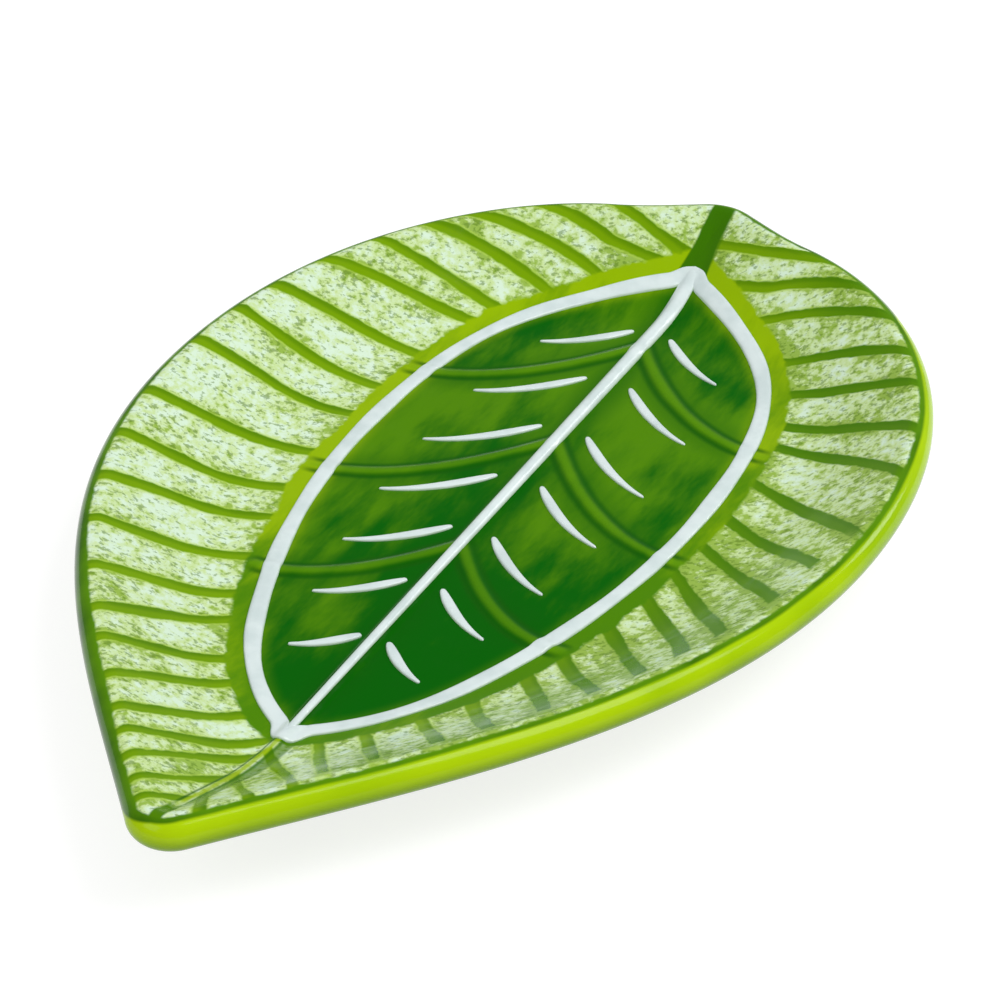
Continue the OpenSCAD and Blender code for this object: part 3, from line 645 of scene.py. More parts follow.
# %% Outside coat
UNDER_STEPS, SHOULDER_STEPS, FLAT_STEPS = 28, 16, 6
under_runs = np.linspace(UNDER_INSET, LIP_OUT_T, UNDER_STEPS + 1)
outer_angles = np.linspace(180 - np.degrees(SLOPE), BAND_ANGLE, SHOULDER_STEPS + 1)
wide, wide_v = section_outside([*outer_angles, BAND_ANGLE - LIP_STEP], under_runs[:-1], COAT)
outer, outer_v = wide[:, :-1], wide_v[:, :-1]
bed_runs = UNDER_INSET - UNDER_R * np.sin(SLOPE * np.arange(4) / 3)
outer_bed, _ = section_outside([150, 110, 70, 30], bed_runs, 0)
flat = slice(flat_rays[0], flat_rays[-1] + 1)
foot_edge = foot_line(WIPE, flat_rays[-1] - flat_rays[0])
foot_low = np.c_[foot_edge, np.full(len(foot_edge), FOOT_H - COAT)]
foot_high = foot_low + [0, 0, COAT]
under_flat = between(foot_low, outer[flat, 0], FLAT_STEPS)
under_flat_bed = between(foot_high, outer_bed[flat, 0], 1)
outer_u = np.repeat(rim_len[:, None], outer.shape[1], 1)
outer_normals = smooth_normals(both(weave(wide), weave(under_flat)))[:wide.shape[0] * wide.shape[1]]
outer_nums = {"flow": np.stack([outer_u, outer_v], 2).reshape(-1, 2), **lip_line(outer_u),
              "normal": outer_normals.reshape(wide.shape)[:, :-1].reshape(-1, 3)}
outside_glaze = piece("outside_glaze_coat", both(
    weave(outer, outer_nums),
    weave(under_flat, {"flow": np.tile([0.0, -UNDER_INSET], (under_flat[..., 0].size, 1))}),
    weave(outer_bed[:, ::-1]), weave(under_flat_bed[:, ::-1]),
    weave(np.stack([outer[:, -1], outer_bed[:, -1]], 1)),
    weave(np.stack([foot_high, foot_low], 1))),
    "lime_glaze", "outside_glaze")

# %% [markdown]
# Inside the foot ring the glaze is a flat leaf shaped disc. The ring itself is one strip of clay, so
# it is a profile with two eased edges, carried round the foot line at a distance from it.

# %% Inside the foot ring, and the ring itself
inner_edge = foot_line(-FOOT_T - WIPE, 160)
disc_x, disc_y = floor_lines(inner_edge, 20)
disc = np.stack([disc_x, disc_y, np.full(disc_x.shape, FOOT_H - COAT)], 2)
disc_bed = np.stack([*floor_lines(inner_edge, 1), np.full((len(inner_edge), 2), FOOT_H)], 2)
base_glaze = piece("base_glaze_coat", both(
    weave(disc[:, ::-1]), weave(disc_bed),
    weave(np.stack([disc[:, 0], disc_bed[:, 0]], 1))),
    "lime_glaze", "base_glaze")

EASE = 0.9
turn = np.radians(np.linspace(0, 90, 6))
profile = np.vstack([
    [[-FOOT_T, FOOT_H]],
    np.c_[-FOOT_T + EASE * (1 - np.cos(turn)), EASE * (1 - np.sin(turn))],
    np.c_[-EASE * (1 - np.sin(turn)), EASE * (1 - np.cos(turn))],
    [[0, FOOT_H]], [[-FOOT_T, FOOT_H]]])
ring = np.stack([np.c_[foot_line(out, 200), np.full(201, z)] for out, z in profile], 1)
foot = piece("foot_ring_clay", both(weave(ring)), "bare_clay", "foot_ring")

# %% [markdown]
# The white lines are slip trailed from a nozzle onto the glaze: they stand up a little, with a rounded
# back and a crisp edge. A trail is a strip of points across a path, lifted by a rounded profile.

# %% White slip lines
LINE_W, STROKE_W, SLIP_H, BED = 3.5, 2.3, 0.6, 0.3    # widths, height and depth of the bed, in mm
ACROSS = np.array([-1, -1, -0.97, -0.88, -0.72, -0.5, -0.25, 0, 0.25, 0.5, 0.72, 0.88, 0.97, 1, 1.0])


def glaze_z(x, y):
    """Height of the glaze at a place: the section of the wall at its distance to the rim, plus relief."""
    t = np.minimum(np.abs(distance(np.c_[x, np.abs(y)], rim)), WALL_INSET)
    return inside_z(t) + coat_rise(t, WALL_INSET, COVE_R) + relief(x, y)


def headings(path):
    """Unit direction along a path at each of its points."""
    way = np.gradient(path, axis=0)
    return way / np.linalg.norm(way, axis=1)[:, None]


def trail(path, half_widths, height, one_side=False):
    """A trail's top and bed. Across it the lift is height times (1 - |v|^4)^(1/2), and both edges sink
    by BED into the glaze; where the width shrinks to nothing the lift does too."""
    side = headings(path)[:, ::-1] * [-1, 1]
    xy = path[:, None] + side[:, None] * (half_widths[:, None] * ACROSS)[..., None]
    if one_side:
        xy[..., 1] = np.maximum(xy[..., 1], 0)
        xy[[0, -1], :, 1] = 0
    z = glaze_z(xy[..., 0].ravel(), xy[..., 1].ravel()).reshape(xy.shape[:2])
    full = np.clip(half_widths / half_widths.max(), 0, 1)[:, None]
    lift = height * np.sqrt(1 - ACROSS ** 4) * np.sqrt(full)
    lift[:, [0, -1]] = -BED
    lift[half_widths < 1e-6] = -BED
    top = np.concatenate([xy, (z + lift)[..., None]], 2)
    edge = np.broadcast_to(np.abs(ACROSS), top.shape[:2])
    return [weave(top[:, ::-1], {"edge": edge[:, ::-1].ravel()}), weave(top[:, [0, -1]])]


print("glaze in the middle of the plate is", round(float(glaze_z(np.zeros(1), np.zeros(1))[0]), 2), "mm high")

# %% [markdown]
# The leaf's outline is the widest line. A hand holds its pace badly, so its width is a little uneven,
# and it turns round the tip and the stem in small bends, where the two sides run into each other.

# %% White outline of the leaf
def even_path(points, step):
    """The path again with points about a step apart."""
    return even(points, int(lengths(points)[-1] / step))


def brushed(path, width, seed, amount=0.05):
    """Half width along a path, a little uneven: two slow sine waves of seeded phase."""
    run = lengths(path)
    a, b = np.random.default_rng(seed).uniform(0, 6, 2)
    return width / 2 * (1 + amount * np.sin(run / 4.3 + a) + amount * np.sin(run / 11 + b))


def nose(line):
    """The leaf line with its two ends turned square to the axis by a small round: cubic curves from
    the axis to where the line is 4 mm off it."""
    inside = line[:, 1] > 4.0
    a, b = np.flatnonzero(inside)[[0, -1]]
    way = headings(line)
    first = np.array([[[line[a, 0] - 4.8, 0], [line[a, 0] - 4.8, 1.8], line[a] - 3.0 * way[a], line[a]]])
    last = np.array([[line[b], line[b] + 2.4 * way[b], [line[b, 0] + 3.6, 1.8], [line[b, 0] + 3.6, 0]]])
    return np.vstack([chain(first, 40)[:-1], line[a:b + 1], chain(last, 40)[1:]])


outline_path = even_path(nose(leaf_line), 0.6)
outline_trail = piece("leaf_outline_slip", both(*trail(
    outline_path, brushed(outline_path, LINE_W, 4), SLIP_H, one_side=True)),
    "white_slip", "leaf_outline_trail")

# %% [markdown]
# The midrib line swells from the tip to the stem and ends in a round, where the nozzle was lifted off.
# Each side stroke is thickest near the midrib and runs out thin, like a touch of a brush.

# %% Midrib line and side strokes
MIDRIB_END = outline_path[-1, 0] + 1.2
mid_x = np.linspace(outline_path[0, 0], MIDRIB_END, 260)
mid_path = np.c_[mid_x, np.zeros(len(mid_x))]
mid_half = np.interp(mid_x, [mid_x[0], mid_x[0] + 30, MIDRIB_END - 12, MIDRIB_END], [0.8, 1.0, 1.9, 1.9])
mid_half *= np.sqrt(np.clip((MIDRIB_END - mid_x) / 1.6, 0, 1))
mid_half[0] = 0
midrib_trail = piece("leaf_midrib_slip", trail(mid_path, mid_half, SLIP_H), "white_slip", "leaf_midrib_trail")

strokes = []
STROKE_PAIRS, STROKE_REACH = 7, 0.66
FIRST_STROKE = -0.75    # the first stands so many vein pitches from the first vein
VEIN_PITCH = VEIN_ROOTS[1] - VEIN_ROOTS[0]
for root in VEIN_ROOTS[0] + VEIN_PITCH * (np.arange(STROKE_PAIRS) / 2 + FIRST_STROKE):
    path = even_path(side_line(root, STROKE_REACH, 0.2, 1.0), 0.3)
    u = np.linspace(0, 1, len(path))
    swell = (0.3 + 0.7 * np.sin(np.pi * u ** (2 / 3))) * np.sqrt(np.clip(np.minimum(u, 1 - u) / 0.03, 0, 1))
    strokes += both(*trail(path, STROKE_W / 2 * swell, SLIP_H))
stroke_trails = piece("leaf_stroke_slip", strokes, "white_slip", "leaf_vein_trails")
print("strokes", 2 * STROKE_PAIRS)

# %% [markdown]
# A potter's colours are few. Each is named here as it looks on the plate, but Blender reckons with
# light, so it is turned from the one into the other.

# %% Colours
def paint(r, g, b):
    """A colour seen on the plate, 0 to 255, as the linear light that Blender reckons in: for each part
    c, ((c + 0.055) / 1.055) ^ 2.4, and c / 12.92 where it is very dark."""
    parts = [v / 255 for v in (r, g, b)]
    return (*(((c + 0.055) / 1.055) ** 2.4 if c > 0.0404 else c / 12.92 for c in parts), 1.0)


print("deepest green in linear light", [round(v, 4) for v in paint(2, 95, 0)])

# %% [markdown]
# The finishes are made of nodes, and a node for every sum makes long reading. These helpers only save
# typing: each adds one kind of node, joins it up and returns what it puts out.

# %% Helpers for sums
def add(tree, kind, sockets=(), **settings):
    """Adds a node, sets its settings, and gives each named or numbered socket a value or a link."""
    made = tree.nodes.new("ShaderNode" + kind)
    for key, value in settings.items():
        setattr(made, key, value)
    for key, value in dict(sockets).items():
        if isinstance(value, bpy.types.NodeSocket):
            tree.links.new(value, made.inputs[key])
        else:
            made.inputs[key].default_value = value
    return made


def calc(tree, operation, *values):
    """One reckoning with up to three numbers."""
    return add(tree, "Math", dict(enumerate(values)), operation=operation).outputs[0]


def plus(tree, first, *others):
    """The sum of several numbers."""
    for other in others:
        first = calc(tree, "ADD", first, other)
    return first


def minus(tree, a, b):
    """The difference a - b."""
    return calc(tree, "SUBTRACT", a, b)


def times(tree, first, *others):
    """The product of several numbers."""
    for other in others:
        first = calc(tree, "MULTIPLY", first, other)
    return first


print("helpers", [helper.__name__ for helper in (add, calc, plus, minus, times)])

# %% [markdown]
# Brushwork is layers of colour, each laid on by a mask, and a mask is a number on the surface that is
# cut by a soft step. Cloudy noise shifts the number first, because no brush has a straight edge.

# %% Helpers for masks, layers and noise
def fade(tree, value, low, high, start=0.0, end=1.0):
    """A soft step: start below low, end above high, and smooth between."""
    return add(tree, "MapRange", {"Value": value, "From Min": low, "From Max": high, "To Min": start,
                                  "To Max": end}, interpolation_type="SMOOTHSTEP").outputs[0]


def under(tree, value, low, high):
    """A soft mask: 1 below low and 0 above high."""
    return fade(tree, value, low, high, 1.0, 0.0)


def parts_of(tree, vector):
    """The three numbers of a vector."""
    return add(tree, "SeparateXYZ", {0: vector}).outputs


def blend(tree, share, a, b):
    """Colour a where share is 0 and b where it is 1."""
    return add(tree, "Mix", {0: share, 6: a, 7: b}, data_type="RGBA").outputs[2]


def layers(tree, colour, *coats):
    """Coats of paint laid over a colour one after another, each where its mask is 1."""
    for mask, coat in coats:
        colour = blend(tree, mask, colour, coat)
    return colour


def noise(tree, place, scale, detail=2.0, roughness=0.5):
    """Soft cloudy numbers about 0.5, so many blotches to the metre."""
    return add(tree, "TexNoise", {"Vector": place, "Scale": scale, "Detail": detail,
                                  "Roughness": roughness}).outputs[0]


def wobble(tree, place, scale, reach):
    """A shift in mm between about -reach/2 and reach/2: (noise - 0.5) times reach."""
    return times(tree, minus(tree, noise(tree, place, scale), 0.5), reach)


print("helpers", [helper.__name__ for helper in (fade, under, parts_of, blend, layers, noise, wobble)])

# %% [markdown]
# Sponge, brush and lip line are effects that can be told apart and used again, so each is a node
# group: it reads a place and a few numbers, and puts out masks and a colour.

# %% Helpers for groups
def group(name, numbers, outputs):
    """A new node group that reads Place and the named numbers, each with its usual value, and puts out
    masks, and a colour where an output is called Colour. Returns it with its inner in and out nodes."""
    tree = bpy.data.node_groups.new(name, "ShaderNodeTree")
    tree.interface.new_socket("Place", in_out="INPUT", socket_type="NodeSocketVector")
    for label, usual in numbers.items():
        tree.interface.new_socket(label, in_out="INPUT", socket_type="NodeSocketFloat").default_value = usual
    for label in outputs:
        kind = "Color" if label == "Colour" else "Float"
        tree.interface.new_socket(label, in_out="OUTPUT", socket_type="NodeSocket" + kind)
    return tree, tree.nodes.new("NodeGroupInput").outputs, tree.nodes.new("NodeGroupOutput").inputs


def give(tree, out, **results):
    """Joins results to the sockets of those names."""
    for key, value in results.items():
        tree.links.new(value, out[key.replace("_", " ")])


def use(tree, inner, **sockets):
    """Places a group in a tree, gives its sockets values or links, and returns its outputs."""
    named = {key.replace("_", " "): value for key, value in sockets.items()}
    return add(tree, "Group", named, node_tree=inner).outputs


print("helpers", [helper.__name__ for helper in (group, give, use)])

# %% [markdown]
# A finish is a material with one Principled shader. Fired glaze is smooth, but it mirrors the room
# more faintly than clear glass does, so both its roughness and its index of refraction are low.

# %% Helpers for finishes
def number(tree, name):
    """A number stored on the surface."""
    return add(tree, "Attribute", attribute_type="GEOMETRY", attribute_name=name).outputs["Fac"]


def finish(name, **values):
    """A new material whose Principled shader takes the plain values on its own sockets. Returns it
    with its tree, the shader's sockets and the place on the object."""
    material = bpy.data.materials.new(name)
    material.use_nodes = True
    tree = material.node_tree
    sockets = tree.nodes["Principled BSDF"].inputs
    for key, value in values.items():
        sockets[key.replace("_", " ")].default_value = value
    return material, tree, sockets, add(tree, "TexCoord").outputs["Object"]


def uneven(tree, height, strength, distance):
    """The normal of a skin whose height goes up and down by so many metres."""
    return add(tree, "Bump", {"Strength": strength, "Distance": distance, "Height": height}).outputs[0]


GLAZE = dict(Roughness=0.13, IOR=1.25)
print("every glaze has", GLAZE)

# %% [markdown]
# The ground was dabbed on with a sponge: a thin haze, thicker dabs on it, and dark specks where the
# sponge dragged. One way would be thousands of little marks; cloudy noise cut at three heights gives
# the same look with no marks to place. Crowding raises the dabs beside the stripes and the leaf.

# %% Sponged ground
sponge, inn, out = group("Sponged ground", {"Crowding": 0.0}, ["Colour"])
cloud = wobble(sponge, inn["Place"], 75, 0.6)
dabs = plus(sponge, noise(sponge, inn["Place"], 480, 3.0, 0.6), cloud, times(sponge, inn["Crowding"], 0.12))
turned = add(sponge, "VectorRotate", {"Vector": inn["Place"], "Angle": 1.1},
             rotation_type="Z_AXIS").outputs[0]
drawn = add(sponge, "VectorMath", {0: turned, 1: (0.9, 1.3, 1.0)}, operation="MULTIPLY").outputs[0]
specks = plus(sponge, noise(sponge, drawn, 760, 3.0, 0.6), times(sponge, cloud, 0.35))
give(sponge, out, Colour=layers(
    sponge, paint(216, 238, 214),
    (times(sponge, fade(sponge, dabs, 0.36, 0.6), 0.8), paint(198, 222, 142)),
    (times(sponge, fade(sponge, dabs, 0.57, 0.74), 0.8), paint(134, 172, 22)),
    (times(sponge, fade(sponge, specks, 0.53, 0.63), 0.62), paint(92, 128, 32))))
print("sponge nodes", len(sponge.nodes))

# %% [markdown]
# A stripe is one stroke of a loaded brush. The phase, cut to its fraction, times the pitch tells how
# many millimetres a place is across the nearest stripe. The brush leaves more glaze on one side, and
# a pale fringe where the wet stroke thinned the sponged ground beside it.

# %% Brushed stripes
stripes, inn, out = group("Brushed stripes", {"Phase": 0.0, "Pitch": 15.0, "Half Width": 1.5},
                          ["Mask", "Nearness", "Fringe", "Colour"])
across = times(stripes, minus(stripes, calc(stripes, "FRACT", inn["Phase"]), 0.5), inn["Pitch"])
edge = plus(stripes, calc(stripes, "ABSOLUTE", across), wobble(stripes, inn["Place"], 70, 1.5),
            wobble(stripes, inn["Place"], 480, 1.0))
over = minus(stripes, edge, inn["Half Width"])
loaded = fade(stripes, plus(stripes, across, wobble(stripes, inn["Place"], 60, 1.2)), -0.4, 1.1)
deep = plus(stripes, times(stripes, loaded, 0.55), wobble(stripes, inn["Place"], 24, 1.3))
deep = add(stripes, "Clamp", {0: deep}).outputs[0]
give(stripes, out, Mask=under(stripes, over, -0.28, 0.3), Nearness=under(stripes, over, 0.0, 3.2),
     Fringe=under(stripes, over, 0.1, 0.8),
     Colour=blend(stripes, deep, paint(118, 160, 2), paint(72, 122, 0)))
print("stripe nodes", len(stripes.nodes))

# %% [markdown]
# A dark line was banded on the lip with the plate on a wheel, and the outside was dipped in lime up
# to it. Both coats meet on the lip, so both finishes use the same two groups. The run across the lip
# is cut at the line's own edges, and the line wears paler where it is thin.

# %% Lip line and lime coat
band, inn, out = group("Lip line", {"Run": 0.0, "Inner Edge": 3.0, "Outer Edge": 1.5},
                       ["Inside", "Beyond", "Colour"])
run = plus(band, inn["Run"], wobble(band, inn["Place"], 45, 0.8))
dabbed = plus(band, run, wobble(band, inn["Place"], 420, 0.7))
worn = plus(band, noise(band, inn["Place"], 75, 3.0), times(band, run, 0.09))
give(band, out, Inside=under(band, minus(band, dabbed, inn["Inner Edge"]), -0.3, 0.3),
     Beyond=under(band, minus(band, run, inn["Outer Edge"]), -0.35, 0.35),
     Colour=blend(band, fade(band, worn, 0.2, 0.85), paint(34, 86, 2), paint(88, 140, 4)))

lime_coat, inn, out = group("Lime coat", {"Run": 0.0}, ["Colour"])
pools = fade(lime_coat, noise(lime_coat, inn["Place"], 34), 0.35, 0.7)
# painted shade: darker below the shoulder of the round lip, less dark further down
low = fade(lime_coat, plus(lime_coat, inn["Run"], wobble(lime_coat, inn["Place"], 45, 1.5)), -0.3, -4.2)
low = times(lime_coat, low, fade(lime_coat, inn["Run"], -14.0, -7.0, 0.3, 0.85))
give(lime_coat, out, Colour=layers(
    lime_coat, paint(174, 208, 4), (pools, paint(152, 191, 0)), (low, paint(96, 138, 0))))
print("lip nodes", len(band.nodes), "lime nodes", len(lime_coat.nodes))

# %% [markdown]
# Glaze runs off a ridge and gathers in the creases beside it, so a ridge shows as a pale crown between
# two dark lines. The group makes both masks from the distance to the ridge's middle.

# %% Ridge under glaze
ridge, inn, out = group("Ridge under glaze", {"Gap": 0.0, "Valley": 1.9, "Width": 1.1, "Wander": 1.0},
                        ["Valleys", "Crown"])
drift = times(ridge, wobble(ridge, inn["Place"], 90, 0.7), inn["Wander"])
gap = plus(ridge, calc(ridge, "ABSOLUTE", inn["Gap"]), drift)
away = calc(ridge, "DIVIDE", minus(ridge, gap, inn["Valley"]), inn["Width"])
give(ridge, out, Valleys=under(ridge, calc(ridge, "ABSOLUTE", away), 0.0, 1.0),
     Crown=under(ridge, gap, 0.2, minus(ridge, inn["Valley"], 0.2)))
print("ridge nodes", len(ridge.nodes))

# %% [markdown]
# The leaf was filled in with a wide brush: streaks along its strokes, and pools of deeper green. It
# grows brighter to the stem, is painted deeper on the near half as painted shade, and outside the white
# line it thins to lime.

# %% Brushed leaf
leaf, inn, out = group("Brushed leaf", {"Gap": 0.0}, ["Mask", "Colour"])
rough_edge = plus(leaf, inn["Gap"], wobble(leaf, inn["Place"], 70, 3.6), wobble(leaf, inn["Place"], 380, 2.0))
grain = add(leaf, "Mapping", {"Vector": inn["Place"], "Rotation": (0, 0, 0.9),
                              "Scale": (1, 3.6, 1)}).outputs[0]
tone = plus(leaf, times(leaf, noise(leaf, grain, 42, 4.0, 0.6), 0.55),
            times(leaf, noise(leaf, inn["Place"], 26), 0.75))
spot = parts_of(leaf, inn["Place"])
to_stem = fade(leaf, spot[0], -0.055, 0.075, -0.06, 0.06)
# painted shade: the near half of the leaf is painted a deeper green
near_half_shade = fade(leaf, spot[1], 0.0, -0.02, 0.0, -0.06)
inner = blend(leaf, fade(leaf, plus(leaf, tone, to_stem, near_half_shade), 0.54, 0.8),
              paint(2, 95, 0), paint(80, 135, 0))
aslant = add(leaf, "VectorMath", {0: inn["Place"], 1: (0.6, 0.8, 0.0)},
             operation="DOT_PRODUCT").outputs["Value"]
paler = fade(leaf, aslant, -0.012, 0.045, -0.12, 0.16)
halo = blend(leaf, fade(leaf, plus(leaf, tone, paler), 0.5, 0.82), paint(76, 132, 0), paint(146, 182, 0))
give(leaf, out, Mask=under(leaf, rough_edge, 5.0, 5.9),
     Colour=blend(leaf, fade(leaf, inn["Gap"], -4.5, 1.6), inner, halo))
print("groups", [g.name for g in bpy.data.node_groups])

# %% [markdown]
# One finish paints the whole inside, so the stripes and the leaf run on over the seam between the two
# coats. Each layer is brushed over the last, and ground and stripes come first. On the near flank the
# brush stopped short of the lip, so a bare strip of ground is left there. There too, painted shade
# makes the stripes darker, the dabs denser and greener, and the stripes' pale fringe fainter.

# %% Painted glaze: ground and stripes
THIN_BRUSH, FULL_BRUSH = 1.05, 1.5
BARE_FROM, BARE_TO = (-166.0, -158.0), (-32.0, -26.0)

painted, tree, sockets, place = finish("painted_glaze", **GLAZE)
where = parts_of(tree, place)
run = parts_of(tree, add(tree, "UVMap", uv_map="flow").outputs[0])
leaf_gap = number(tree, "leaf_gap")
# painted shade: 1 on the near flank, where the colours below are painted darker
near_shade = fade(tree, where[1], -0.02, -0.045)

brush = fade(tree, calc(tree, "ABSOLUTE", run[0]), 20.0, 75.0, THIN_BRUSH, FULL_BRUSH)
stripe = use(tree, stripes, Place=place, Phase=number(tree, "phase"), Pitch=number(tree, "pitch"),
             Half_Width=brush)
by_leaf = under(tree, leaf_gap, 5.5, 9.0)
# denser dabs towards the stem end, and on the near flank denser, greener dabs that are painted shade
crowding_and_near_shade = plus(tree, fade(tree, where[0], 0.06, 0.1, 0.0, 0.3),
              times(tree, near_shade, fade(tree, where[0], 0.02, 0.06, 0.9, 0.3)))
ground = use(tree, sponge, Place=place,
             Crowding=plus(tree, calc(tree, "MAXIMUM", stripe["Nearness"], by_leaf), crowding_and_near_shade))
by_lip = under(tree, plus(tree, run[1], wobble(tree, place, 160, 2.6)), 6.2, 7.6)
bare_strip = times(tree, by_lip, times(tree, fade(tree, run[0], *BARE_FROM), under(tree, run[0], *BARE_TO)))
# the pale fringe beside the stripes, painted fainter on the near flank as painted shade
fringe = times(tree, stripe["Fringe"], minus(tree, 0.5, times(tree, near_shade, 0.5)))
colour = layers(
    tree, ground["Colour"],
    (fringe, paint(186, 220, 84)),
    # on the near flank the stripes are painted darker: painted shade
    (times(tree, stripe["Mask"], minus(tree, 1.0, bare_strip)),
     blend(tree, times(tree, near_shade, 0.7), stripe["Colour"], paint(66, 122, 0))))
print("nodes so far", len(tree.nodes))

# %% [markdown]
# The leaf goes over the stripes' ends. Its green is deepest in broad bands beside the midrib and the
# veins. Outside the leaf, the midrib's crest is a lime line, thin glaze and painted highlight, with
# painted shade on its near side.

# %% Painted glaze: leaf, veins and midrib
off_axis = times(tree, calc(tree, "ABSOLUTE", where[1]), 1000.0)
along = times(tree, where[0], 1000.0)
vein_away = number(tree, "vein_gap")
brushed_leaf = use(tree, leaf, Place=place, Gap=leaf_gap)
vein = use(tree, ridge, Place=place, Gap=vein_away, Valley=2.05, Width=1.4)
rib = use(tree, ridge, Place=place, Gap=off_axis, Valley=0.95, Width=0.5, Wander=0.2)
on_leaf = under(tree, leaf_gap, 2.0, 6.5)
off_leaf = fade(tree, leaf_gap, 1.0, 6.0)
rib_there = fade(tree, along, -118.0, -112.0)
by_rib = fade(tree, plus(tree, off_axis, wobble(tree, place, 40, 3.0)), 1.5, 8.5, 0.62, 0.0)
beside = times(tree, calc(tree, "MAXIMUM", fade(tree, vein_away, 2.0, 9.0, 0.45, 0.0), by_rib),
               under(tree, leaf_gap, -6.0, 2.0))
creases = calc(tree, "MAXIMUM", times(tree, vein["Valleys"], on_leaf), times(tree, rib["Valleys"], rib_there))
to_corner = times(tree, under(tree, plus(tree, off_axis, wobble(tree, place, 160, 0.8)), 0.9, 1.5),
                  fade(tree, where[0], -0.1145, -0.1175))
# painted shade on the near side of the midrib outside the leaf
shade_side = times(tree, fade(tree, times(tree, where[1], -1000.0), 0.4, 1.0),
                   under(tree, plus(tree, off_axis, wobble(tree, place, 70, 1.4)), 2.8, 3.6))
colour = layers(
    tree, colour,
    (brushed_leaf["Mask"], brushed_leaf["Colour"]),
    (beside, paint(8, 92, 0)),
    (times(tree, vein["Crown"], on_leaf, 0.45), paint(104, 158, 8)),
    (times(tree, creases, 0.8), paint(18, 88, 2)),
    (to_corner, paint(78, 128, 2)),
    # the midrib's lime crest: thin glaze and painted highlight
    (times(tree, rib["Crown"], rib_there, off_leaf, 0.85), paint(158, 188, 20)),
    # painted shade on the midrib's near side
    (times(tree, shade_side, rib_there, off_leaf, 0.75), paint(72, 122, 2)))
print("nodes so far", len(tree.nodes))

# %% [markdown]
# Last come the stem's broad stroke, which widens to the rim, and the lip. Glaze is never quite level:
# a slow wave in the normal breaks up its reflections, and the roughness varies a little too.

# %% Painted glaze: stem, lip and skin
stem_edge = plus(tree, off_axis, wobble(tree, place, 90, 1.0), fade(tree, along, 98.0, 112.0, 0.0, 1.2))
stem = times(tree, under(tree, stem_edge, 3.5, 4.1), fade(tree, along, 97.0, 102.0))


def lip_and_lime(tree, place, run):
    """The lip line's masks and colour, and the lime's colour, at a run across the lip."""
    lip = use(tree, band, Place=place, Run=run, Inner_Edge=number(tree, "lip_inner"),
              Outer_Edge=number(tree, "lip_outer"))
    return lip, use(tree, lime_coat, Place=place, Run=run)["Colour"]


lip, dipped = lip_and_lime(tree, place, run[1])
give(tree, sockets,
     Base_Color=layers(tree, colour, (stem, paint(58, 114, 0)), (lip["Inside"], lip["Colour"]),
                       (lip["Beyond"], dipped)),
     Roughness=fade(tree, noise(tree, place, 200, 3.0), 0.3, 0.8, 0.09, 0.2),
     Normal=uneven(tree, noise(tree, place, 55), 0.12, 0.0012))
print("painted glaze has", len(tree.nodes), "nodes")

# %% [markdown]
# The lime glaze is brightest over the shoulder of the lip and painted darker right below it, as painted
# shade where the round lip turns away from the light, and less dark further down. The lip line group
# lets the dark green reach over the edge, down to the line's outer edge.

# %% Lime glaze
lime, tree, sockets, place = finish("lime_glaze", **GLAZE)
run = parts_of(tree, add(tree, "UVMap", uv_map="flow").outputs[0])
lip, dipped = lip_and_lime(tree, place, run[1])
give(tree, sockets,
     Base_Color=layers(tree, dipped, (lip["Inside"], lip["Colour"]), (lip["Beyond"], dipped)),
     Normal=uneven(tree, noise(tree, place, 60), 0.12, 0.0012))
print("lime glaze has", len(tree.nodes), "nodes")

# %% [markdown]
# Bare clay shows only where the foot ring was wiped: matt and cream, with darker grains in it and the
# tooth of a sponged surface. The slip is a smooth white clay under clear glaze, whose thin edges let
# the green beneath show through.

# %% Bare clay and white slip
clay, tree, sockets, place = finish("bare_clay", Roughness=0.85)
grains = fade(tree, noise(tree, place, 900), 0.62, 0.7)
body = blend(tree, noise(tree, place, 120, 3.0), paint(232, 218, 190), paint(214, 196, 164))
give(tree, sockets, Base_Color=blend(tree, times(tree, grains, 0.5), body, paint(150, 120, 86)),
     Normal=uneven(tree, noise(tree, place, 1500, 3.0), 0.3, 0.0003))

slip, tree, sockets, place = finish("white_slip", Roughness=0.2, IOR=1.45)
thin = fade(tree, plus(tree, number(tree, "edge"), wobble(tree, place, 300, 0.2)), 0.8, 1.05)
body = blend(tree, fade(tree, noise(tree, place, 160, 3.0), 0.35, 0.7), paint(222, 234, 234),
             paint(208, 222, 222))
give(tree, sockets, Base_Color=blend(tree, times(tree, thin, 0.55), body, paint(150, 186, 120)),
     Normal=uneven(tree, noise(tree, place, 260), 0.2, 0.0004))

for thing, coat in ((border_glaze, painted), (leaf_glaze, painted), (outside_glaze, lime), (base_glaze, lime),
                    (foot, clay), (outline_trail, slip), (midrib_trail, slip), (stroke_trails, slip),
                    (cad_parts["clay_body"], clay)):
    thing.data.materials.clear()
    thing.data.materials.append(coat)
print("materials", [m.name for m in bpy.data.materials if m.users])

# %% [markdown]
# The plate stands on white paper. Really white paper would throw so much light up at the plate that
# its colours would pale, so to the light that falls the paper is a plain grey. To the camera, and in
# what the glaze mirrors, it is a dark grey that takes the shadow plus a glow: together they are white.

# %% Paper under the plate
def seen(tree):
    """1 for what the camera sees straight, mirrored or through glass, 0 for light that only falls."""
    rays = add(tree, "LightPath").outputs
    return calc(tree, "MAXIMUM", rays["Is Camera Ray"],
                calc(tree, "MAXIMUM", rays["Is Glossy Ray"], rays["Is Transmission Ray"]))


def grey(level):
    """A grey of that share of white."""
    return (level, level, level, 1)


FLOOR_REACH = 3.0    # metres from the middle to each side
PLAIN, SHADED, GLOW = 0.75, 0.33, 0.8

